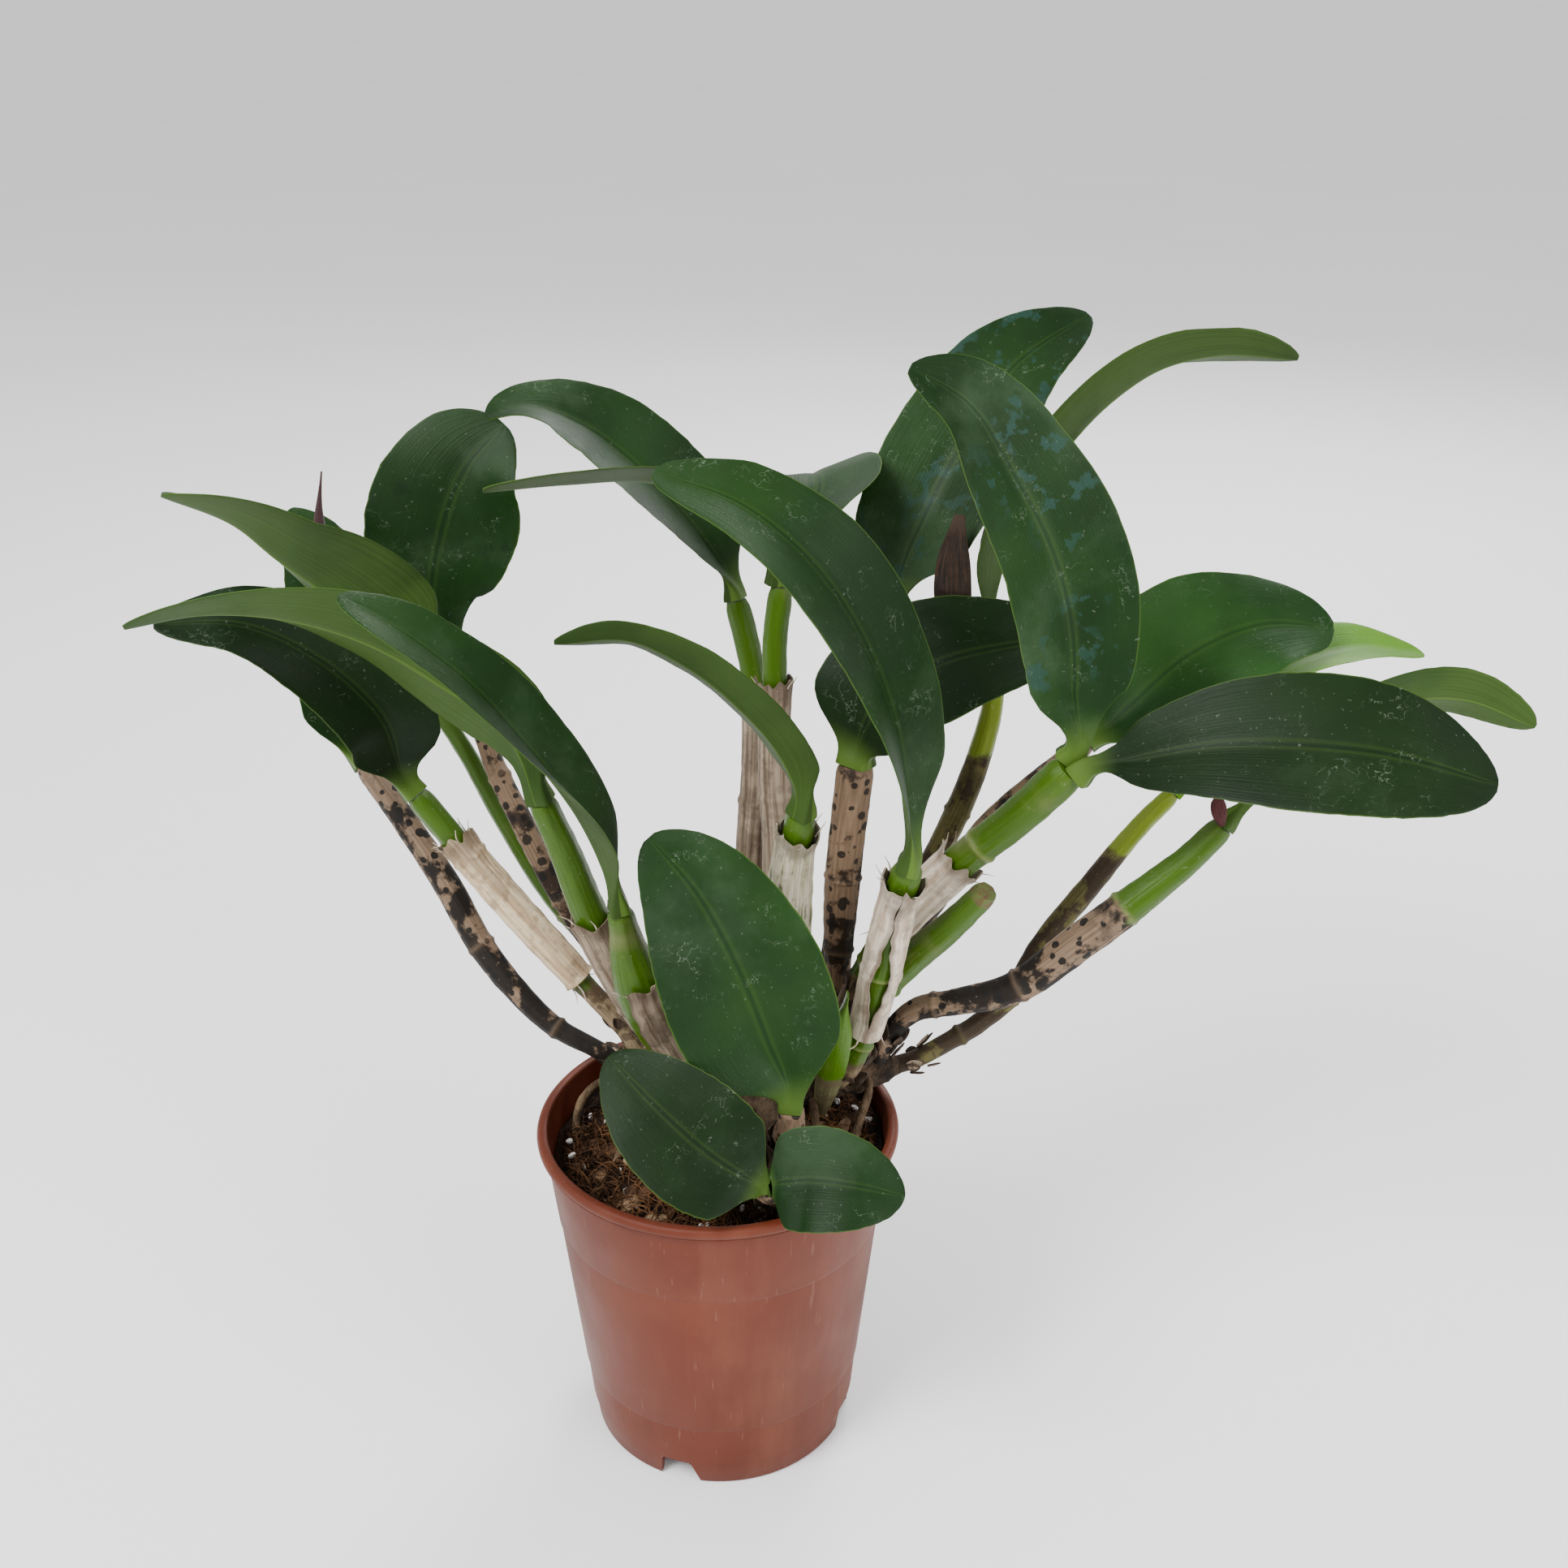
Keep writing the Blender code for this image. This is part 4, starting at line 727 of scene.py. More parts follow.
def leaf_material(name, tones, film_amount, stain=None):
    """A leathery blade from its dark, light, underside and rim tones."""
    made, w = new_material(name)
    place, across, below = w.place(), w.attribute("across"), w.attribute("below")
    lines = streaks(w, across, w.attribute("along"), 34.0, 1.6)
    film = film_masks(w, place)
    width = w.math("ABSOLUTE", across)
    broad = w.ramp(w.noise(place, 14.0, 4.0), 0.34, 0.68)
    upper = leaf_upper(w, place, width, (broad, lines, film), tones, film_amount, stain)
    lower = leaf_lower(w, place, width, lines, tones)
    colour = w.mix(w.ramp(below, 0.4, 0.6), upper, lower)
    rough = w.plus(w.ramp(below, 0.4, 0.6, 0.42, 0.6), w.times(film["Film"], 0.16))
    grain = w.times(w.noise(place, 1400.0, 2.0), 0.35)
    height = w.plus(w.plus(w.times(lines, 0.35), grain), w.times(broad, 0.8))
    return finish_material(made, w, colour, rough, height, 0.0003, 0.35, 0.12)


def rind_colour(w, place, lines, marks, rind, rind_dark, change, spotted):
    """Colour of a cane's dry part: lined, blotched, spotted and dark at its upper border."""
    dry = w.mix(lines, rind, opaque(rind, 0.55))
    dry = w.lay(dry, rind_dark, marks["Blotches"], 0.96)
    dry = w.lay(dry, (0.006, 0.005, 0.004, 1.0), marks["Spots"], spotted)
    near = w.ramp(w.attribute("along"), change - 0.12, change)
    border = w.times(near, w.ramp(w.noise(place, 150.0, 4.0), 0.4, 0.55))
    return w.lay(dry, rind_dark, border, 0.85)


def live_colour(w, place, lines, live, rind):
    """Colour of a cane's live part: waxy, lined and faintly clouded by the rind's tone."""
    green = w.lay(live, opaque(live, 1.5), lines, 0.35)
    return w.mix(w.ramp(w.noise(place, 40.0, 3.0), 0.55, 0.75, 0.0, 0.25), green, rind)


def cane_material(name, live, rind, rind_dark, change, spotted, darker=0.0, cut=False):
    """A cane: dry spotted rind below the change, waxy live green above it."""
    made, w = new_material(name)
    live, rind, rind_dark = opaque(live), opaque(rind), opaque(rind_dark)
    place, along = w.place(), w.attribute("along")
    lines = streaks(w, w.attribute("around"), along, 26.0, 5.0)
    marks = spot_masks(w, place, 235.0, w.ramp(along, 0.0, 1.0, darker, -0.06 + 0.4 * darker))
    film = film_masks(w, place)
    wander = w.times(w.math("SUBTRACT", w.noise(place, 160.0, 3.0), 0.5), 0.09)
    turn = w.ramp(w.plus(along, wander), change - 0.012, change + 0.012)
    dry = rind_colour(w, place, lines, marks, rind, rind_dark, change, spotted)
    colour = w.mix(turn, dry, live_colour(w, place, lines, live, rind))
    if cut:
        specks = w.ramp(w.noise(place, 420.0, 3.0), 0.42, 0.58)
        healed = w.mix(specks, (0.075, 0.095, 0.022, 1.0), (0.085, 0.05, 0.02, 1.0))
        colour = w.mix(w.ramp(along, 0.955, 0.975), colour, healed)
    colour = w.lay(colour, w.mix(turn, rind, (0.3, 0.3, 0.12, 1.0)), w.attribute("ring"), 0.3)
    colour = w.lay(colour, (0.36, 0.34, 0.26, 1.0), film["Grains"], 0.25)
    rough = w.plus(w.ramp(turn, 0.0, 1.0, 0.66, 0.3), w.times(film["Film"], 0.12))
    height = w.plus(lines, w.times(w.noise(place, 900.0, 3.0), 0.6))
    return finish_material(made, w, colour, rough, height, 0.0003, 0.35, 0.2)


def net_mask(w, place, along, around):
    """Mask of the thin windows between a sheath's veins."""
    spread = w.vector(w.times(around, 26.0), w.times(along, 12.0))
    inputs = {"Vector": spread, "Scale": 1.0}
    cells = w.node("ShaderNodeTexVoronoi", inputs, feature="DISTANCE_TO_EDGE")
    holes = w.ramp(cells.outputs["Distance"], 0.16, 0.3)
    return w.times(holes, w.ramp(w.noise(place, 60.0, 2.0), 0.47, 0.6))


def sheath_material(name, pale, dark):
    """Dry papery sheath: pale fibres, brown stains, a darker torn edge and, on one, a net of windows."""
    made, w = new_material(name)
    pale, dark = opaque(pale), opaque(dark)
    place, along, around = w.place(), w.attribute("along"), w.attribute("around")
    lines = streaks(w, around, along, 60.0, 3.0)
    broad = streaks(w, around, along, 16.0, 4.0, 5.0)
    marks = spot_masks(w, place, 300.0)
    colour = w.mix(broad, pale, dark)
    colour = w.lay(colour, opaque(dark, 0.5), lines, 0.35)
    colour = w.lay(colour, opaque(dark, 0.45), marks["Blotches"], 0.45)
    colour = w.lay(colour, opaque(dark, 0.3), marks["Spots"], 0.25)
    if name == "sheath_netted":
        colour = w.lay(colour, (0.05, 0.07, 0.02, 1.0), net_mask(w, place, along, around), 0.8)
    torn = w.ramp(w.attribute("torn"), 0.0, 1.0, 0.0, 0.6)
    colour = w.mix(torn, colour, (0.05, 0.03, 0.018, 1.0))
    rough = w.ramp(w.noise(place, 80.0, 3.0), 0.3, 0.7, 0.62, 0.85)
    return finish_material(made, w, colour, rough, w.plus(lines, broad), 0.0004, 0.4, 0.3)


def bark_material(name, dark, light, scale):
    """Rough woody matter with grain."""
    made, w = new_material(name)
    place = w.place()
    grain = w.noise(w.stretched(place, (1.0, 0.35, 1.0)), scale, 6.0, 0.65)
    tone = w.ramp(grain, 0.35, 0.68)
    fleck = w.ramp(w.noise(place, scale * 6.0, 3.0), 0.58, 0.7)
    colour = w.lay(w.mix(tone, opaque(dark), opaque(light)), opaque(light, 1.9), fleck, 0.5)
    rough = w.ramp(tone, 0.0, 1.0, 0.78, 0.95)
    return finish_material(made, w, colour, rough, w.plus(tone, fleck), 0.0012, 0.8, 0.12)


def pot_material(base):
    """Moulded terracotta-coloured plastic, scuffed, dusty and faintly streaked by water."""
    made, w = new_material("nursery_plastic")
    place = w.place()
    film = film_masks(w, place)
    upright = w.stretched(place, (1.0, 1.0, 0.12))
    drips = w.ramp(w.noise(upright, 60.0, 5.0, 0.6), 0.45, 0.7)
    clouds = w.ramp(w.noise(place, 17.0, 4.0), 0.35, 0.7)
    scratch = w.stretched(place, (1.0, 1.0, 0.03), (0.4, 0.5, 0.2))
    scuffs = w.ramp(w.noise(scratch, 700.0, 2.0), 0.66, 0.74)
    colour = w.mix(clouds, base, opaque(base, 0.8))
    colour = w.lay(colour, (0.3, 0.12, 0.07, 1.0), drips, 0.1)
    colour = w.lay(colour, (0.3, 0.13, 0.08, 1.0), film["Film"], 0.1)
    colour = w.lay(colour, (0.56, 0.36, 0.28, 1.0), scuffs, 0.07)
    colour = w.lay(colour, (0.06, 0.035, 0.025, 1.0), film["Grains"], 0.1)
    rough = w.plus(w.ramp(clouds, 0.0, 1.0, 0.46, 0.56), w.times(film["Film"], 0.14))
    height = w.plus(w.noise(place, 1100.0, 2.0), w.times(scuffs, 0.5))
    return finish_material(made, w, colour, rough, height, 0.00012, 0.35, 0.22)


# Leaves


def bulb_named(name):
    """The cane of that name."""
    return next(b for b in BULBS if b.name == name)


def circle(count):
    """Angles evenly spaced round a circle."""
    return 2.0 * math.pi * np.arange(count) / count


def spoke(angle, across, other):
    """The direction at an angle between two directions across a path."""
    return math.cos(angle) * across + math.sin(angle) * other


def stalk_share(fraction):
    """How much of a leaf is still stalk: 1 at its base, 0 in its blade."""
    return 1.0 - float(ease(fraction / STALK_END))


def blade_half_width(leaf, fraction):
    """Half the width of a blade: a narrow stalk, a wedge, the broad blade and a blunt tip."""
    skew = math.log(0.5) / math.log(leaf.broadest)
    blade = math.sin(math.pi * fraction**skew) ** BLUNTNESS
    opening = float(ease(fraction / WEDGE_END))
    return leaf.width / 2.0 * blade * opening + PETIOLE_HALF * stalk_share(fraction)


def blade_spine(leaf, rows):
    """Fractions, centres and directions along a leaf, which rises in line with its cane."""
    places, tangents = smooth_path(bulb_named(leaf.on).path, (0.0, 1.0))
    aim = tangents[-1]
    start = places[-1] + np.array((leaf.shift[0], leaf.shift[1], 0.0))
    start += aim * (np.dot(places[-1] - start, aim) + ROOT_GAP)
    t = np.linspace(0.0, 1.0, rows)
    fractions = BLADE_END * (0.55 * t + 0.45 * (1.0 - np.cos(math.pi * t)) / 2.0)
    path = [start, start + aim * STRAIGHT_STALK, *leaf.path]
    return fractions, *smooth_path(path, fractions, start=aim)


def clasp_width(leaf, distance):
    """How far a leaf's base spreads to hold the top of its cane, at a distance along the leaf."""
    spread = max(0.0, bulb_named(leaf.on).top - 0.5 - PETIOLE_HALF)
    clasp = math.exp(-((distance / CLASP_REACH) ** 1.6)) * spread
    return clasp * (0.5 if any(leaf.shift) else 1.0)


def blade_thickness(lane, reach, stalk, fraction, clasp):
    """Thickness, depth of the groove above and height of the keel below at a place across a leaf."""
    rolled = math.sqrt(max(0.0, 1.0 - abs(lane) ** 8))
    thick = (LEAF_THICKNESS + (LEAF_MARGIN - LEAF_THICKNESS) * abs(lane)) * (0.35 + 0.65 * rolled)
    thick += ((PETIOLE_THICKNESS + 1.5 * clasp) * (0.4 + 0.6 * rolled) - thick) * stalk
    groove = GROOVE * math.exp(-((reach / GROOVE_REACH) ** 2)) * (1.0 - stalk)
    keel = KEEL * math.exp(-((reach / KEEL_REACH) ** 2)) * (1.0 - stalk) * (1.0 - fraction)
    return thick, groove * min(1.0, 4.0 * (1.0 - fraction)), keel


def blade_row(leaf, fraction, centre, tangent, clasp, lanes, number):
    """Points above and below along one line across a leaf, from its left rim to its right rim."""
    face = (1.0 - fraction) * np.array(leaf.faces[0]) + fraction * np.array(leaf.faces[1])
    side = unit(np.cross(tangent, face))
    normal = np.cross(side, tangent)
    half = blade_half_width(leaf, fraction) + clasp
    fold = math.radians(leaf.fold[0] + (leaf.fold[1] - leaf.fold[0]) * fraction)
    fold *= float(ease(fraction / FOLD_START))
    stalk = stalk_share(fraction)
    upper, lower = [], []
    for lane in lanes:
        reach = abs(lane) * half
        rim = centre + side * lane * half
        lift = (math.sqrt(reach**2 + 0.8) - 0.9) * math.sin(fold)
        lift += leaf.wave * lane**2 * math.sin(5.0 * math.pi * fraction + lane) * (1.0 - stalk)
        lift += 0.9 * lane**2 * lump(rim, 0.05, number) * (1.0 - stalk)
        ragged = 0.35 * lump(rim, 0.35, number) * abs(lane) ** 6 * (1.0 - stalk)
        sideways = lane * half * math.cos(fold) + ragged * np.sign(lane)
        point = centre + side * sideways + normal * lift
        thick, groove, keel = blade_thickness(lane, reach, stalk, fraction, clasp)
        upper.append(point + normal * (thick / 2.0 - groove))
        lower.append(point - normal * (thick / 2.0 + keel))
    return upper, lower


def build_blade(leaf, material, rows, lane_count, number):
    """One fine leaf with a channelled midrib, a keel, a rolled rim and a little waviness."""
    fractions, centres, aims = blade_spine(leaf, rows)
    length = np.linalg.norm(np.diff(centres, axis=0), axis=1).sum()
    lanes = np.sin(np.linspace(-math.pi / 2, math.pi / 2, lane_count))
    upper, lower = [], []
    for fraction, centre, tangent in zip(fractions, centres, aims):
        clasp = clasp_width(leaf, fraction * length)
        above, beneath = blade_row(leaf, fraction, centre, tangent, clasp, lanes, number)
        upper += above
        lower += beneath
    values = {
        "along": np.tile(np.repeat(fractions, lane_count), 2),
        "across": np.tile(lanes, 2 * rows),
        "below": [0.0] * len(upper) + [1.0] * len(lower),
    }
    faces = slab_faces(rows, lane_count)
    make_piece("fine_" + leaf.name, upper + lower, faces, material, values, (leaf.name,), leaf.colour)


# Canes and sheaths


def bulb_radius(bulb, fraction):
    """Radius along a cane without its joints: a slim foot, a swollen belly and a neck."""
    if fraction < BULB_SWELL:
        return bulb.base + (bulb.belly - bulb.base) * ease(fraction / BULB_SWELL)
    return bulb.belly + (bulb.top - bulb.belly) * ease((fraction - BULB_SWELL) / (1.0 - BULB_SWELL))


def joint_mask(bulb, fraction):
    """How near a place along the cane is to one of its joints."""
    return max(math.exp(-(((fraction - joint) / JOINT_SOFTNESS) ** 2)) for joint in bulb.joints)


def build_cane(bulb, material, number):
    """One fine cane with shallow flutes, joint rings and a bevelled top."""
    close = {joint + step for joint in bulb.joints for step in JOINT_STEPS}
    steps = sorted(set(np.linspace(0.0, 1.0, CANE_ROWS)) | close)
    places, tangents = smooth_path(bulb.path, steps)
    points, along, around, ring = [], [], [], []
    for step, place, (across, other) in zip(steps, places, carried_axes(tangents)):
        joint = joint_mask(bulb, step)
        end = float(ease((1.0 - step) / BEVEL))
        radius = (bulb_radius(bulb, step) - 0.1) * (0.82 + 0.18 * end) + JOINT_RISE * joint
        for angle in circle(CANE_SIDES):
            flute = FLUTE * math.cos(7.0 * angle + number) * (1.0 - joint) * ease(step / 0.2)
            spot = place + radius * spoke(angle, across, other)
            rough = 0.22 * lump(spot, 0.25, number)
            points.append(spot + (flute + rough - 0.2) * unit(spot - place))
            along.append(step)
            around.append(0.5 + 0.5 * math.sin(angle))
            ring.append(joint)
    values = {"along": along, "around": around, "ring": ring}
    faces = tube_faces(len(steps), CANE_SIDES)
    make_piece("fine_" + bulb.name, points, faces, material, values, (bulb.name,), bulb.colour)


def sleeve_frames(sheath, bulb):
    """Fraction of the cane, place and three directions for each row of a sheath."""
    steps = np.linspace(sheath.start, sheath.end, SHEATH_ROWS)
    places, tangents = smooth_path(bulb.path, np.concatenate(([0.0], steps)))
    axes = carried_axes(smooth_path(bulb.path, np.linspace(0.0, 1.0, AXIS_STEPS))[1])
    for step, place, tangent in zip(steps, places[1:], tangents[1:]):
        across = axes[min(AXIS_STEPS - 1, int(round(step * (AXIS_STEPS - 1))))][0]
        across = unit(across - tangent * np.dot(across, tangent))
        yield step, place, tangent, across, np.cross(tangent, across)


def closing_angle(sheath, part, spread):
    """How far each edge of a closed sheath reaches over its split, but for a window in the middle."""
    if sheath.name not in CLOSED_SHEATHS:
        return 0.0
    window = 1.0 - 0.95 * math.sin(math.pi * min(1.0, part / 0.8)) ** 3
    return 0.46 * (2.0 * math.pi - spread) * window


def build_sheath(sheath, material, number):
    """One papery sleeve, split along one side, wrinkled, with a torn mouth and frayed edges."""
    bulb = bulb_named(sheath.on)
    turn = 2.0 * math.pi / CAD_SIDES
    first, spread = turn * (sheath.first_side + 0.5), turn * (sheath.sides - 1)
    outer, inner, along, torn = [], [], [], []
    shares = [j / (SHEATH_LANES - 1) for j in range(SHEATH_LANES)]
    for i, (step, place, tangent, across, other) in enumerate(sleeve_frames(sheath, bulb)):
        part = i / (SHEATH_ROWS - 1)
        closing = closing_angle(sheath, part, spread)
        mouth = ease((part - 0.8) / 0.2)
        radius = bulb_radius(bulb, step) + JOINT_RISE * joint_mask(bulb, step) + SHEATH_GAP
        for share in shares:
            aside = abs(2.0 * share - 1.0)
            edgeward = (2.0 * share - 1.0) ** 3
            fray = 0.035 * lump((step * 70.0, 0.0 if share < 0.5 else 50.0, number * 9.0), 0.25)
            angle = first + spread * (share + fray * edgeward) + closing * edgeward
            out = spoke(angle, across, other)
            wrinkle = 0.45 * abs(lump(place + out * 9.0, 0.13, number))
            flare = 0.9 * max(0.0, part - 0.9) / 0.1 + 0.5 * aside**6
            centre = place + tangent * (4.5 * lump((angle * 9.0, number * 5.0, 1.0), 0.2) * mouth)
            inner.append(centre + out * (radius + wrinkle * 0.6 + flare))
            outer.append(centre + out * (radius + wrinkle + flare + SHEATH_WALL))
            along.append(step)
            torn.append(max(0.8 * mouth, ease((aside - 0.9) / 0.1)))
    values = {"along": along * 2, "around": shares * (2 * SHEATH_ROWS), "torn": torn * 2}
    faces = slab_faces(SHEATH_ROWS, SHEATH_LANES)
    points = outer + inner
    make_piece("fine_" + sheath.name, points, faces, material, values, (sheath.name,), sheath.colour)


def lance(start, aim, face, length, width, curl):
    """Points and faces of a thin dry flake that starts at a point and curls away from it."""
    side = unit(np.cross(aim, face))
    up = np.cross(side, aim)
    lanes = (-1.0, -0.35, 0.35, 1.0)
    top, bottom = [], []
    for t in np.linspace(0.0, 1.0, FLAKE_ROWS):
        half = width / 2.0 * max(0.1, math.sin(math.pi * (0.18 + 0.8 * t)) ** 0.7)
        centre = np.asarray(start, float) + aim * length * t + up * curl * length * t**2
        for lane in lanes:
            spot = centre + side * lane * half + up * 0.35 * half * lane**2
            spot = spot + up * 0.25 * lump(spot, 0.5)
            top.append(spot + up * FLAKE_HALF)
            bottom.append(spot - up * FLAKE_HALF)
    return top + bottom, slab_faces(FLAKE_ROWS, len(lanes))


def build_scraps(drab, dark):
    """Torn dry bracts round the foot of each cane and beside the low leaves."""
    draw = np.random.default_rng(SEED + 2)
    pale, brown = [], []
    for bulb in BULBS:
        heights = (0.03, 0.07) if bulb.name in DARK_FEET else (0.05, 0.12, 0.22)
        places, tangents = smooth_path(bulb.path, heights)
        for place, tangent, (across, other) in zip(places, tangents, carried_axes(tangents)):
            for number in range(4):
                out = spoke(draw.uniform(0.0, 2.0 * math.pi), across, other)
                start, aim = place + out * (bulb.base + 0.1), unit(tangent + 0.2 * out)
                sizes = draw.uniform(4.0, 9.0), draw.uniform(2.5, 5.0), draw.uniform(0.0, 0.2)
                (pale if number == 0 else brown).append(lance(start, aim, out, *sizes))
    for start, aim, length, width in LOOSE_FLAPS:
        pale.append(lance(start, unit(aim), (0.2, -1.0, 0.3), length, width, 0.2))
    make_piece("dry_bracts_pale", *joined(pale), drab, dry_values(pale), (), "tan_sheath", 80)
    make_piece("dry_bracts_dark", *joined(brown), dark, dry_values(brown), (), "rhizome", 80)


def dry_values(parts):
    """Values along and around for every flake or strand, for the sheath materials."""
    places = np.concatenate([np.asarray(points, float) for points, _ in parts])
    return {"along": places[:, 2] * 0.02, "around": places[:, 0] * 0.03, "torn": [0.0] * len(places)}


def strand(draw, place, tangent, radius, sense):
    """Points and faces of one dry strand that leaves the edge of a sheath and thins out."""
    out = spoke(draw.uniform(0.0, 2.0 * math.pi), *carried_axes([tangent])[0])
    start = place + out * radius
    aim = unit(tangent * sense + out * draw.uniform(0.1, 0.8))
    length, turn = draw.uniform(2.5, 7.0), draw.uniform(-2.0, 2.0)
    end = start + aim * length + (np.cross(aim, out) * turn + out * 0.8)
    steps = np.linspace(0.0, 1.0, STRAND_ROWS)
    line, aims = smooth_path([start, start + aim * length * 0.5, end], steps)
    points = []
    for step, spot, (one, two) in zip(steps, line, carried_axes(aims)):
        thin = STRAND_RADIUS * (1.0 - 0.75 * step)
        points += [spot + thin * (math.cos(a) * one + 0.5 * math.sin(a) * two) for a in STRAND_ANGLES]
    return points, tube_faces(STRAND_ROWS, len(STRAND_ANGLES))


def build_shreds(material):
    """Dry strands that hang off the torn mouths and edges of the sheaths."""
    draw = np.random.default_rng(SEED + 3)
    parts = []
    for sheath in SHEATHS:
        bulb = bulb_named(sheath.on)
        places, tangents = smooth_path(bulb.path, (sheath.start, sheath.end - 0.02, sheath.end))
        for row, sense, fraction, count in ((1, 1.0, sheath.end, 9), (0, -1.0, sheath.start, 3)):
            radius = bulb_radius(bulb, fraction) + SHEATH_GAP + 0.2
            parts += [strand(draw, places[row], tangents[row], radius, sense) for _ in range(count)]
    make_piece("sheath_shreds", *joined(parts), material, dry_values(parts), (), "pale_sheath", 80)


def build_spathe(item, material, nodes):
    """A flattened, pointed body that faces one way."""
    taper = 0.25 if item.name == "spathe_right_dry" else 0.8
    steps = np.linspace(0.0, 1.0, SPATHE_ROWS)
    points, along, around = [], [], []
    for step, place, tangent in zip(steps, *smooth_path(item.path, steps)):
        side = unit(np.cross(tangent, item.facing))
        front = np.cross(side, tangent)
        swell = 0.24 + 0.76 * math.sin(math.pi * (0.08 + 0.84 * step)) ** 1.2
        swell *= 1.0 - taper * float(ease((step - 0.7) / 0.3))
        wide, thick = item.width / 2.0 * swell, item.thickness / 2.0 * (0.5 + 0.5 * swell)
        for angle in circle(SPATHE_SIDES):
            crease = 0.25 * abs(math.sin(4.0 * angle)) * thick
            spot = place + side * wide * math.cos(angle) - front * (thick - crease) * math.sin(angle)
            points.append(spot)
            along.append(step)
            around.append(0.5 + 0.5 * math.cos(angle))
    torn = [ease((step - 0.8) / 0.2) for step in along]
    values = {"along": along, "around": around, "ring": [0.0] * len(points), "torn": torn}
    faces = tube_faces(SPATHE_ROWS, SPATHE_SIDES)
    make_piece("fine_" + item.name, points, faces, material, values, nodes, item.colour)


# Rhizome, roots and mix


def knobbly_tube(path, radius, knot, rows, sides, seed, taper=0.6):
    """Points and faces of a rough tube with swollen knots."""
    steps = np.linspace(0.0, 1.0, rows)
    places, tangents = smooth_path(path, steps)
    points = []
    for step, place, (across, other) in zip(steps, places, carried_axes(tangents)):
        swell = radius + knot * max(0.0, math.cos(2.0 * math.pi * step * (len(path) - 1))) ** 4
        swell *= taper + (1.0 - taper) * float(ease(min(step, 1.0 - step) / 0.05))
        for angle in circle(sides):
            out = spoke(angle, across, other)
            points.append(place + out * (swell + 0.12 * radius * lump(place + out * radius, 0.5, seed)))
    return points, tube_faces(rows, sides)


def joined(parts):
    """One list of points and faces from several."""
    points, faces = [], []
    for some_points, some_faces in parts:
        base = len(points)
        points += list(some_points)
        faces += [tuple(base + v for v in face) for face in some_faces]
    return points, faces


def mix_height(x, y):
    """Height of the mix: low at the front left, mounded under the plant, and lumpy."""
    mound = 5.5 * math.exp(-((x - 12.0) ** 2 + (y - 14.0) ** 2) / (2.0 * 26.0**2))
    lumps = 0.9 * math.sin(0.31 * x + 1.3) * math.cos(0.27 * y) + 0.6 * math.sin(0.7 * x - 0.5 * y)
    fine = 1.4 * lump((x, y, 0.0), 0.22) + 0.8 * lump((x, y, 5.0), 0.6)
    return MIX_EDGE + mound + 0.035 * x + 0.03 * y + lumps + fine


def build_mix(material):
    """The top of the mix, with a skirt down inside the pot's wall."""
    angles = circle(MIX_SIDES)
    points = [(SKIRT_RADIUS * math.cos(a), SKIRT_RADIUS * math.sin(a), SKIRT_LOW) for a in angles]
    for i in range(MIX_RINGS):
        radius = MIX_RADIUS * (1.0 - i / MIX_RINGS)
        for a in angles:
            x, y = radius * math.cos(a), radius * math.sin(a)
            points.append((x, y, mix_height(x, y)))
    faces = tube_faces(MIX_RINGS + 1, MIX_SIDES)
    make_piece("fine_potting_mix", points, faces, material, None, ("potting_mix",), "mix")


def chunk(draw, x, y, size, tall, sink):
    """An irregular chip lying on the mix."""
    turn, lean, roll = draw.uniform(0, math.pi), draw.uniform(-0.45, 0.45), draw.uniform(-0.5, 0.5)
    along = np.array((math.cos(turn) * math.cos(lean), math.sin(turn) * math.cos(lean), math.sin(lean)))
    side = unit(np.cross((0.0, math.sin(roll), 1.0), along))
    up = np.cross(along, side)
    centre = np.array((x, y, mix_height(x, y) + tall * sink))
    half = (size, size * draw.uniform(0.35, 0.7), tall)
    points = []
    for level, shrink in CHUNK_LEVELS:
        for k in range(CHUNK_SIDES):
            a = 2.0 * math.pi * k / CHUNK_SIDES + 0.2
            reach = shrink * draw.uniform(0.78, 1.0)
            spot = centre + along * math.cos(a) * half[0] * reach + side * math.sin(a) * half[1] * reach
            points.append(spot + up * level * half[2] * draw.uniform(0.75, 1.0))
    return points, tube_faces(len(CHUNK_LEVELS), CHUNK_SIDES)


def scatter(draw, count, inner, outer):
    """Places spread evenly over the mix between two radii."""
    spots = []
    for _ in range(count):
        radius = math.sqrt(draw.uniform((inner / outer) ** 2, 1.0)) * outer
        angle = draw.uniform(0.0, 2.0 * math.pi)
        spots.append((radius * math.cos(angle), radius * math.sin(angle)))
    return spots


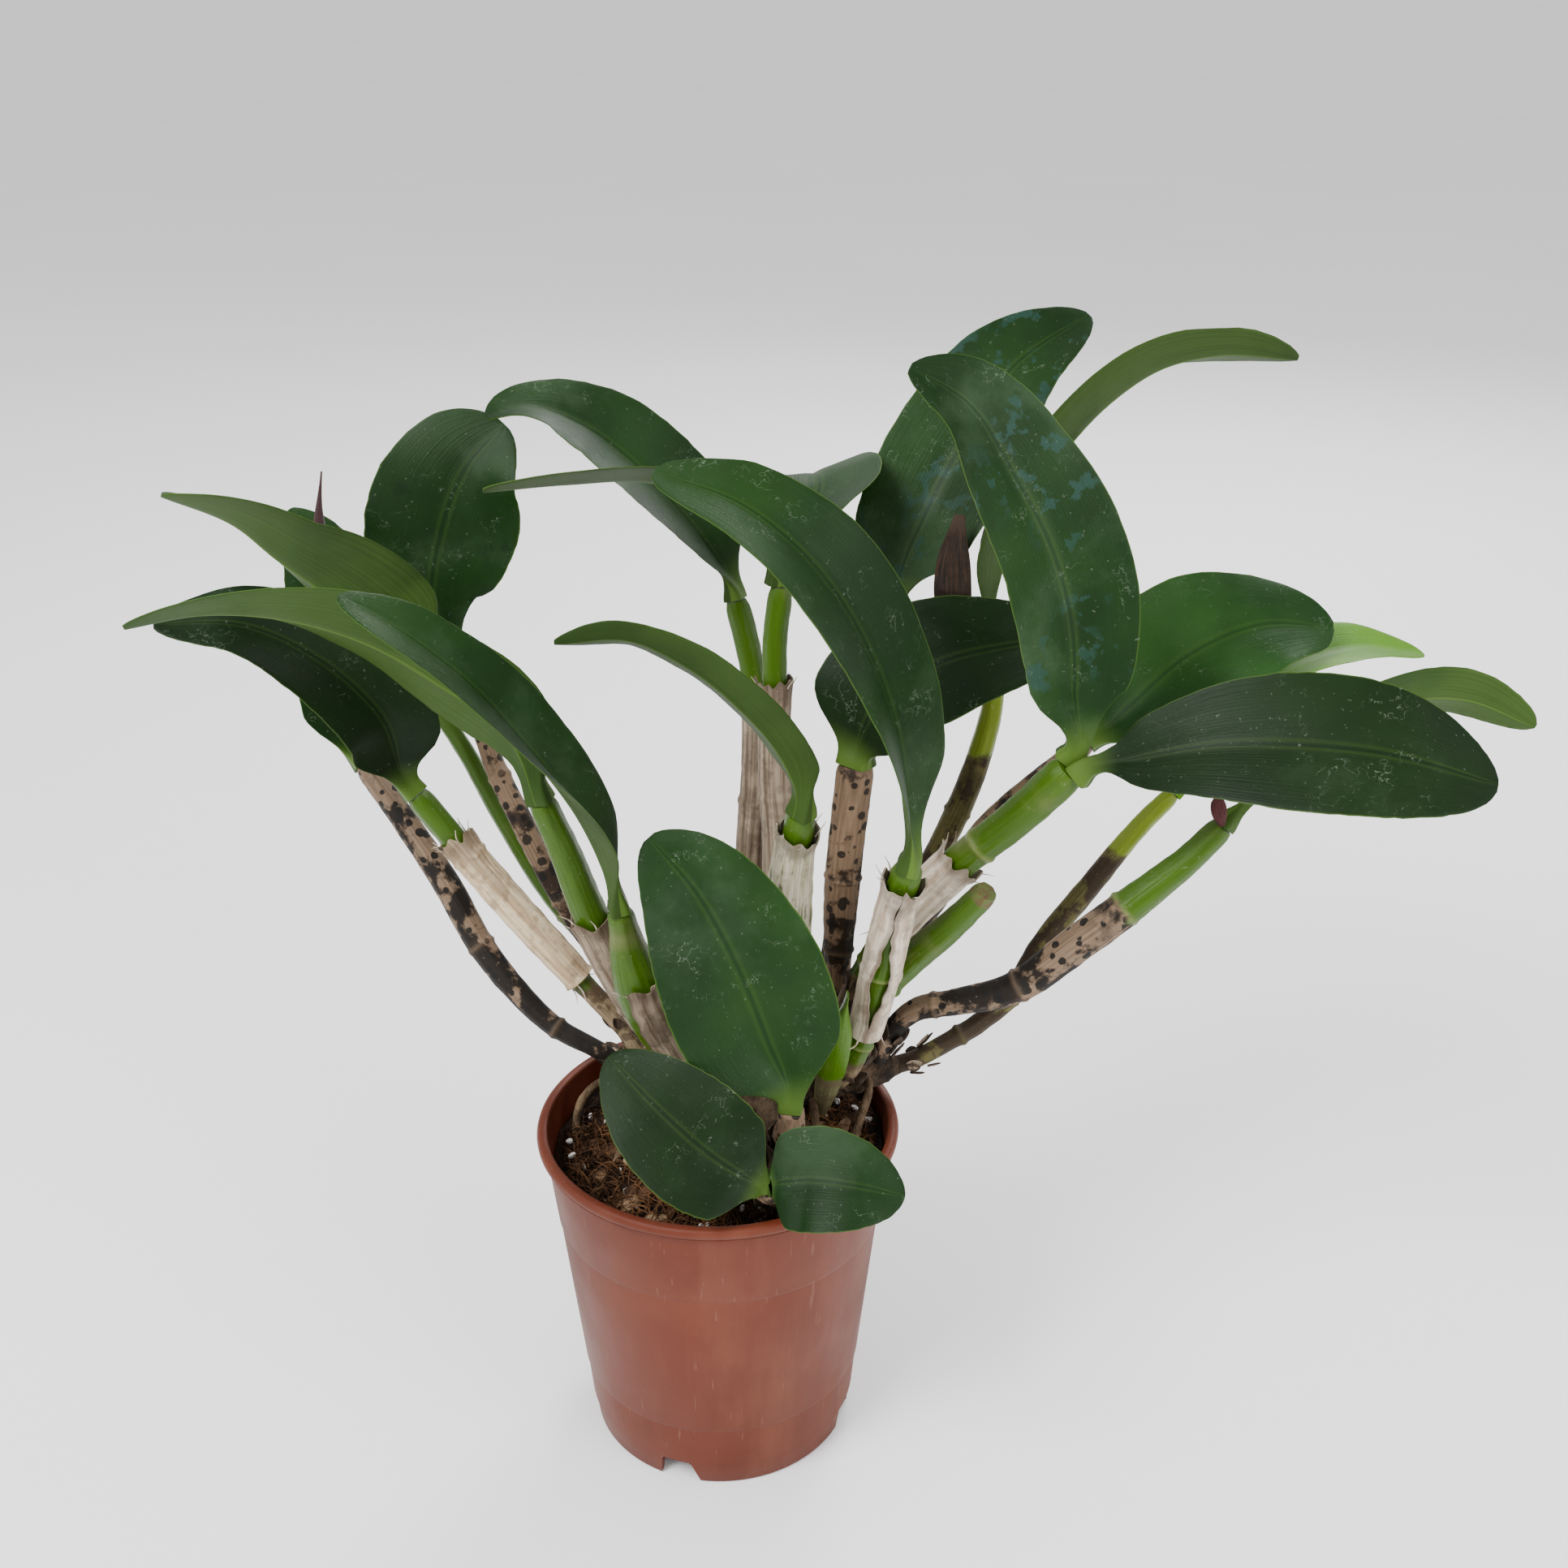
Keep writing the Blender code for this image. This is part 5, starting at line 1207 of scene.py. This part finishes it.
def build_chips(chip_count, tan, brown, white):
    """Bark chips, dark crumbs and perlite grains on the mix."""
    draw = np.random.default_rng(SEED)
    chips = [chunk(draw, x, y, draw.uniform(2.2, 5.2), draw.uniform(0.7, 1.7), 0.3)
             for x, y in scatter(draw, chip_count, 0.0, 48.0)]
    flakes = [chunk(draw, x, y, size, 0.8, 1.6) for x, y, size in FLAKE_PLACES]
    make_piece("bark_chips", *joined(chips[::3] + flakes), tan, None, (), "mix", 35)
    make_piece("bark_chips_dark", *joined(chips[1::3] + chips[2::3]), brown, None, (), "mix", 35)
    crumbs = [chunk(draw, x, y, draw.uniform(0.7, 1.6), draw.uniform(0.4, 0.9), 0.3)
              for x, y in scatter(draw, 4 * chip_count, 0.0, 52.0)]
    make_piece("mix_crumbs", *joined(crumbs), brown, None, (), "mix", 35)
    grains = [chunk(draw, x, y, draw.uniform(0.7, 1.9), draw.uniform(0.7, 1.4), 1.2)
              for x, y in scatter(draw, PERLITE_COUNT, 20.0, 52.0)]
    make_piece("perlite_grains", *joined(grains), white, None, (), "mix", 60)


def fibre_path(draw, x, y):
    """A crooked arch over the mix, kept inside the pot's wall."""
    turn = draw.uniform(0.0, 2.0 * math.pi)
    length, arch = draw.uniform(5.0, 17.0), draw.uniform(0.4, 4.2)
    path = []
    for step in np.linspace(0.0, 1.0, 5):
        bend = turn + draw.uniform(-0.5, 0.5)
        px = x + math.cos(bend) * length * (step - 0.5)
        py = y + math.sin(bend) * length * (step - 0.5)
        reach = math.hypot(px, py)
        if reach > FIBRE_REACH:
            px, py = px * FIBRE_REACH / reach, py * FIBRE_REACH / reach
        path.append((px, py, mix_height(px, py) + 0.2 + arch * math.sin(math.pi * step)))
    return path


def build_fibres(fibre_count, material):
    """Coir fibres that lie and stick out over the mix, inside the pot's rim."""
    draw = np.random.default_rng(SEED + 1)
    parts = []
    for x, y in scatter(draw, fibre_count, 0.0, 50.0):
        places, tangents = smooth_path(fibre_path(draw, x, y), np.linspace(0.0, 1.0, FIBRE_ROWS))
        radius = draw.uniform(0.1, 0.26)
        points = []
        for place, (across, other) in zip(places, carried_axes(tangents)):
            points += [place + radius * spoke(a, across, other) for a in FIBRE_ANGLES]
        parts.append((points, tube_faces(FIBRE_ROWS, len(FIBRE_ANGLES))))
    make_piece("coir_fibres", *joined(parts), material, None, (), "mix", 80)


# Pot


def turned(profile, sides):
    """Points and faces of a body turned round Z from (radius, height) pairs off the axis."""
    vertices = [(0.0, 0.0, profile[0][1])]
    for radius, height in profile[1:-1]:
        vertices += [(radius * math.cos(a), radius * math.sin(a), height) for a in circle(sides)]
    vertices.append((0.0, 0.0, profile[-1][1]))
    last, rows = len(vertices) - 1, len(profile) - 2
    faces = []
    for k in range(sides):
        n = (k + 1) % sides
        faces.append((0, 1 + n, 1 + k))
        faces.append((last, 1 + (rows - 1) * sides + k, 1 + (rows - 1) * sides + n))
        for i in range(rows - 1):
            low, high = 1 + i * sides, 1 + (i + 1) * sides
            faces.append((low + k, low + n, high + n, high + k))
    return vertices, faces


def wall_radius(height):
    """Outer radius of the pot's tapering wall."""
    return BASE_RADIUS + (NECK_RADIUS - BASE_RADIUS) * height / (POT_HEIGHT - RIM_HEIGHT)


def base_profile():
    """Outline of the pot's underside: the pad in the middle, the raised floor and the foot ring."""
    inside, foot = BASE_RADIUS - FOOT_WIDTH, wall_radius(FOOT_HEIGHT)
    return [
        (0.0, 0.0), (PAD_RADIUS, 0.0), (PAD_RADIUS + 2.5, FOOT_HEIGHT), (inside - 1.6, FOOT_HEIGHT),
        (inside - 0.6, 0.2), (inside - 0.3, 0.0), (BASE_RADIUS - 0.9, 0.0), (BASE_RADIUS - 0.6, 0.4),
        (foot - 0.6, FOOT_HEIGHT), (foot - 0.1, FOOT_HEIGHT + 0.3), (foot, FOOT_HEIGHT + 0.9),
    ]


def step_profile(height):
    """Outline of one step in the pot's wall."""
    edge = wall_radius(height)
    return [(edge - STEP_DEPTH - 0.05, height - 0.7), (edge - STEP_DEPTH, height),
            (edge - 0.15, height + 0.35), (edge, height + 0.8)]


def pot_profile():
    """Outline of the pot from the middle of its base, round its rim, to the middle of its floor."""
    neck = POT_HEIGHT - RIM_HEIGHT
    floor_top = FOOT_HEIGHT + FLOOR
    profile = base_profile()
    for height in STEP_HEIGHTS:
        profile += step_profile(height)
    profile += [(NECK_RADIUS, neck), (RIM_RADIUS - 0.9, neck + 0.1)]
    bead = np.linspace(-0.45 * math.pi, 0.5 * math.pi, 7)
    wide, tall = BEAD
    profile += [(RIM_RADIUS - wide + wide * math.cos(a), POT_HEIGHT - tall + tall * math.sin(a))
                for a in bead]
    profile += [
        (NECK_RADIUS - 0.5, POT_HEIGHT), (NECK_RADIUS - WALL + 0.2, POT_HEIGHT - 0.4),
        (NECK_RADIUS - WALL, POT_HEIGHT - 1.2), (wall_radius(floor_top + 3.0) - WALL, floor_top + 3.0),
        (wall_radius(floor_top) - WALL - 1.2, floor_top), (PAD_RADIUS + 3.4, floor_top),
        (PAD_RADIUS + 0.9, FLOOR + 0.4), (0.0, FLOOR + 0.4),
    ]
    return profile


def notch_cutter(azimuth):
    """Points and faces of the cutter for one notch in the foot ring."""
    half, top = NOTCH_WIDTH / 2.0, FOOT_HEIGHT - 0.6
    outline = [
        (-half, -2.0), (half, -2.0), (half - 3.6, top - 1.0),
        (half - 4.6, top), (-half + 1.4, top), (-half + 0.8, top - 0.8),
    ]
    inner, outer = BASE_RADIUS - FOOT_WIDTH - 5.0, BASE_RADIUS + 4.0
    out = np.array((math.cos(math.radians(azimuth)), math.sin(math.radians(azimuth)), 0.0))
    along = np.array((-out[1], out[0], 0.0))
    points = [out * r + along * x + np.array((0, 0, z)) for r in (inner, outer) for x, z in outline]
    return points, tube_faces(2, len(outline))


def drain_cutter(index):
    """Points and faces of the cutter for one drain hole."""
    angle = 2.0 * math.pi * (index + 0.5) / DRAIN_COUNT
    x, y = DRAIN_RING * math.cos(angle), DRAIN_RING * math.sin(angle)
    points = [(x + DRAIN_RADIUS * math.cos(a), y + DRAIN_RADIUS * math.sin(a), z)
              for z in (FOOT_HEIGHT - 3.0, FOOT_HEIGHT + FLOOR + 3.0) for a in circle(DRAIN_SIDES)]
    return points, tube_faces(2, DRAIN_SIDES)


def build_pot(material):
    """The nursery pot with its notches and drain holes cut."""
    shell = turned(pot_profile(), POT_SIDES)
    body = make_piece("fine_nursery_pot", *shell, material, None, ("nursery_pot",), "pot", POT_SHARP)
    cutters = [notch_cutter(a) for a in NOTCH_AZIMUTHS] + [drain_cutter(i) for i in range(DRAIN_COUNT)]
    points, faces = joined(cutters)
    mesh = bpy.data.meshes.new("pot_cutters")
    mesh.from_pydata([tuple(v) for v in np.asarray(points, float) * MM], [], faces)
    tool = add_object("pot_cutters", mesh)
    step = body.modifiers.new("cut", "BOOLEAN")
    step.operation, step.object, step.solver = "DIFFERENCE", tool, "MANIFOLD"
    bpy.context.view_layer.update()
    result = bpy.data.meshes.new_from_object(body.evaluated_get(bpy.context.evaluated_depsgraph_get()))
    body.modifiers.clear()
    body.data = result
    result.shade_smooth()
    result.set_sharp_from_angle(angle=math.radians(POT_SHARP))
    bpy.data.objects.remove(tool, do_unlink=True)


# Stage


def area_lamp(name, place, size, power):
    """A soft lamp at a place, turned to the middle of the plant."""
    data = bpy.data.lights.new(name, "AREA")
    data.shape, data.size, data.energy = "DISK", size, power
    lamp = add_object(name, data)
    lamp.location = place
    lamp.rotation_euler = (Vector(PLANT_MIDDLE) - Vector(place)).to_track_quat("-Z", "Y").to_euler()


def add_floor():
    """A wide pale floor just under the pot."""
    mesh = bpy.data.meshes.new("floor")
    signs = ((-1, -1), (1, -1), (1, 1), (-1, 1))
    corners = [(x * FLOOR_HALF, y * FLOOR_HALF, FLOOR_LEVEL) for x, y in signs]
    mesh.from_pydata(corners, [], [(0, 1, 2, 3)])
    made, w = new_material("floor_pale")
    shader = made.node_tree.nodes["Principled BSDF"]
    clouds = w.ramp(w.noise(w.place(), 2.0, 2.0), 0.3, 0.7)
    tone = w.mix(clouds, (0.93, 0.93, 0.93, 1.0), (0.95, 0.95, 0.95, 1.0))
    w.tree.links.new(tone, shader.inputs["Base Color"])
    shader.inputs["Roughness"].default_value = 0.9
    mesh.materials.append(made)
    floor = add_object("floor", mesh)
    floor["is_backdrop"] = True


def add_world(scene):
    """Even white light from all sides."""
    world = bpy.data.worlds.new("studio")
    world.use_nodes = True
    light = world.node_tree.nodes["Background"].inputs
    light["Color"].default_value = (1.0, 1.0, 1.0, 1.0)
    light["Strength"].default_value = 1.0
    scene.world = world


def add_camera(scene):
    """The photograph's camera, as fitted to the ellipses of the pot's rim and base."""
    data = bpy.data.cameras.new("camera")
    data.sensor_width = SENSOR_WIDTH
    data.lens = SENSOR_WIDTH * FOCAL_PIXELS / FRAME_PIXELS
    data.clip_start = 0.01
    camera = add_object("camera", data)
    camera.location = CAMERA_PLACE
    camera.rotation_euler = (math.radians(CAMERA_PITCH), 0.0, 0.0)
    scene.camera = camera


# Operators


class OrchidSettings(bpy.types.PropertyGroup):
    """Sizes and colours of the dressing."""

    leaf_rows: IntProperty(name="Leaf Rows", description="Rows of points along a leaf", default=56, min=20)
    leaf_lanes: IntProperty(name="Leaf Lanes", description="Points across a leaf", default=17, min=7)
    chip_count: IntProperty(name="Bark Chips", description="Bark chips on the mix", default=170, min=0)
    fibre_count: IntProperty(name="Coir Fibres", description="Coir fibres on the mix", default=1700, min=0)
    leaf_dark: FloatVectorProperty(
        name="Leaf Dark", description="Darkest tone of a leaf's upper side", default=(0.003, 0.015, 0.002),
        size=3, subtype="COLOR")
    leaf_light: FloatVectorProperty(
        name="Leaf Light", description="Lightest tone of a leaf's upper side", default=(0.01, 0.036, 0.005),
        size=3, subtype="COLOR")
    leaf_under: FloatVectorProperty(
        name="Leaf Underside", description="Tone of a leaf's lower side", default=(0.033, 0.068, 0.01),
        size=3, subtype="COLOR")
    leaf_rim: FloatVectorProperty(
        name="Leaf Rim", description="Tone of the rim, the rib and the stalk", default=(0.08, 0.15, 0.018),
        size=3, subtype="COLOR")
    live_green: FloatVectorProperty(
        name="Live Cane", description="Tone of a live cane", default=(0.034, 0.08, 0.001),
        size=3, subtype="COLOR")
    pot_colour: FloatVectorProperty(
        name="Pot", description="Tone of the plastic", default=(0.105, 0.019, 0.0065),
        size=3, subtype="COLOR")
    lamp_power: FloatProperty(
        name="Lamp Power", description="Power of a lamp whose gain is one", default=20.0,
        min=0.0, unit="POWER")


def leaf_materials(settings):
    """Every kind of leaf material. LEAF_KINDS says which leaf has which, and the rest are plain."""
    shades = (settings.leaf_dark, settings.leaf_light, settings.leaf_under, settings.leaf_rim)
    tones = tuple(opaque(shade) for shade in shades)
    dark, light, under, rim = tones
    # The darker copy is painted shade on leaves that sit in shade, the lighter copy painted light on leaves
    # in full light.
    painted_shade = opaque(dark, 0.6), opaque(light, 0.5), under, rim
    painted_light = opaque(dark, 1.6), opaque(light, 1.7), opaque(under, 1.15), rim
    return {
        "plain": leaf_material("leaf_leather", tones, 0.22),
        # Painted shade: the darker copy.
        "painted_shade": leaf_material("leaf_leather_painted_shade", painted_shade, 0.12),
        "stained": leaf_material("leaf_leather_stained", tones, 0.3, (0.016, 0.048, 0.04, 1.0)),
        "wet": leaf_material("leaf_leather_wet", tones, 0.3, (0.002, 0.012, 0.002, 1.0)),
        # Painted glow of light shining through the bright leaf.
        "young_and_painted_glow": leaf_material("leaf_leather_painted_glow", tuple(opaque(t) for t in PAINTED_GLOW_TONES), 0.02),
        # Painted light: the lighter copy.
        "painted_light": leaf_material("leaf_leather_painted_light", painted_light, 0.2),
    }


class ORCHID_OT_leaves(bpy.types.Operator):
    """Builds every leaf in place of its plain solid"""

    bl_idname = "orchid.leaves"
    bl_label = "Build Leaves"

    def execute(self, context):
        s = context.scene.orchid
        kinds = leaf_materials(s)
        for number, leaf in enumerate(LEAVES):
            material = kinds[LEAF_KINDS.get(leaf.name, "plain")]
            build_blade(leaf, material, s.leaf_rows, s.leaf_lanes, number)
        return {"FINISHED"}


class ORCHID_OT_canes(bpy.types.Operator):
    """Builds every cane in place of its plain solid"""

    bl_idname = "orchid.canes"
    bl_label = "Build Canes"

    def execute(self, context):
        for number, bulb in enumerate(BULBS):
            rind, rind_dark, spotted = RINDS[bulb.colour]
            live = OLIVE_LIVE if bulb.colour == "olive_bulb" else context.scene.orchid.live_green
            material = cane_material(
                "cane_" + bulb.name, live, rind, rind_dark, RIND_END[bulb.name], spotted,
                DARK_FEET.get(bulb.name, 0.02), bulb.name == "bulb_cut_green")
            build_cane(bulb, material, number)
        return {"FINISHED"}


class ORCHID_OT_sheaths(bpy.types.Operator):
    """Builds the papery sheaths, the spathes and the small dry parts"""

    bl_idname = "orchid.sheaths"
    bl_label = "Build Sheaths"

    def execute(self, context):
        papers = {name: sheath_material(name, *tones) for name, tones in PAPERS.items()}
        for number, sheath in enumerate(SHEATHS):
            material = papers[SHEATH_KINDS.get(sheath.name, "sheath_tan")]
            build_sheath(sheath, material, number + 1)
        build_scraps(papers["sheath_drab"], papers["bract_dark"])
        build_shreds(papers["sheath_pale"])
        young_and_painted_glow = cane_material("spathe_young", *SPATHE_YOUNG, 0.0)
        kinds = {"spathe_left_young": young_and_painted_glow, "spathe_right_dry": papers["spathe_dry"]}
        for item in SPATHES:
            build_spathe(item, kinds.get(item.name, papers["bract_red"]), (item.name,))
        build_spathe(FRESH_SHOOT, cane_material("shoot_green", *SHOOT_GREEN, 0.0), ())
        return {"FINISHED"}


class ORCHID_OT_mix(bpy.types.Operator):
    """Builds the potting mix, its chips and fibres, the rhizome and the roots"""

    bl_idname = "orchid.mix"
    bl_label = "Build Mix"

    def execute(self, context):
        s = context.scene.orchid
        barks = {name: bark_material(name, *look) for name, look in BARKS.items()}
        build_mix(barks["mix_soil"])
        build_chips(s.chip_count, barks["bark_tan"], barks["bark_brown"], barks["perlite"])
        build_fibres(s.fibre_count, barks["coir"])
        lines = [knobbly_tube(path, radius - 0.2, 0.8, 90, 22, n)
                 for n, (radius, path) in enumerate(RHIZOME)]
        make_piece("fine_rhizome", *joined(lines), barks["rhizome_rind"], None, ("rhizome",), "rhizome", 60)
        roots = [knobbly_tube(path, ROOT_RADIUS - 0.1, 0.1, 60, 14, n, 0.8)
                 for n, path in enumerate(ROOTS, 20)]
        make_piece("old_roots", *joined(roots), barks["root_rind"], None, (), "rhizome", 60)
        return {"FINISHED"}


class ORCHID_OT_pot(bpy.types.Operator):
    """Builds the plastic nursery pot"""

    bl_idname = "orchid.pot"
    bl_label = "Build Pot"

    def execute(self, context):
        build_pot(pot_material(opaque(context.scene.orchid.pot_colour)))
        return {"FINISHED"}


class ORCHID_OT_stage(bpy.types.Operator):
    """Adds the floor, the lamps and the camera"""

    bl_idname = "orchid.stage"
    bl_label = "Set Stage"

    def execute(self, context):
        scene = context.scene
        add_floor()
        add_world(scene)
        for name, place, size, gain in LAMPS:
            area_lamp(name, place, size, gain * scene.orchid.lamp_power)
        add_camera(scene)
        return {"FINISHED"}


class ORCHID_PT_panel(bpy.types.Panel):
    """Lists the building steps and the settings"""

    bl_label = "Potted Orchid"
    bl_idname = "ORCHID_PT_panel"
    bl_space_type = "VIEW_3D"
    bl_region_type = "UI"
    bl_category = "Orchid"

    def draw(self, context):
        column = self.layout.column()
        for key in OrchidSettings.__annotations__:
            column.prop(context.scene.orchid, key)
        for step in STEPS:
            column.operator(step.bl_idname)


STEPS = (ORCHID_OT_stage, ORCHID_OT_pot, ORCHID_OT_mix, ORCHID_OT_canes, ORCHID_OT_sheaths, ORCHID_OT_leaves)
CLASSES = (OrchidSettings, *STEPS, ORCHID_PT_panel)


def register():
    """Registers the classes and the scene's settings."""
    for item in CLASSES:
        bpy.utils.register_class(item)
    bpy.types.Scene.orchid = PointerProperty(type=OrchidSettings)


def unregister():
    """Takes the settings and the classes away again."""
    del bpy.types.Scene.orchid
    for item in reversed(CLASSES):
        bpy.utils.unregister_class(item)


def write_sizes():
    """Gathers the box of the plain solids and the box of what shows as lists of plain numbers."""
    boxes = {"cad": CAD_BOX, "visual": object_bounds()}
    plain = {key: [[float(n) for n in corner] for corner in box] for key, box in boxes.items()}


def main():
    """Builds everything in order."""
    register()
    bpy.ops.orchid.stage()
    bpy.ops.orchid.pot()
    bpy.ops.orchid.mix()
    bpy.ops.orchid.canes()
    bpy.ops.orchid.sheaths()
    bpy.ops.orchid.leaves()
    write_sizes()


if __name__ == "__main__":
    main()
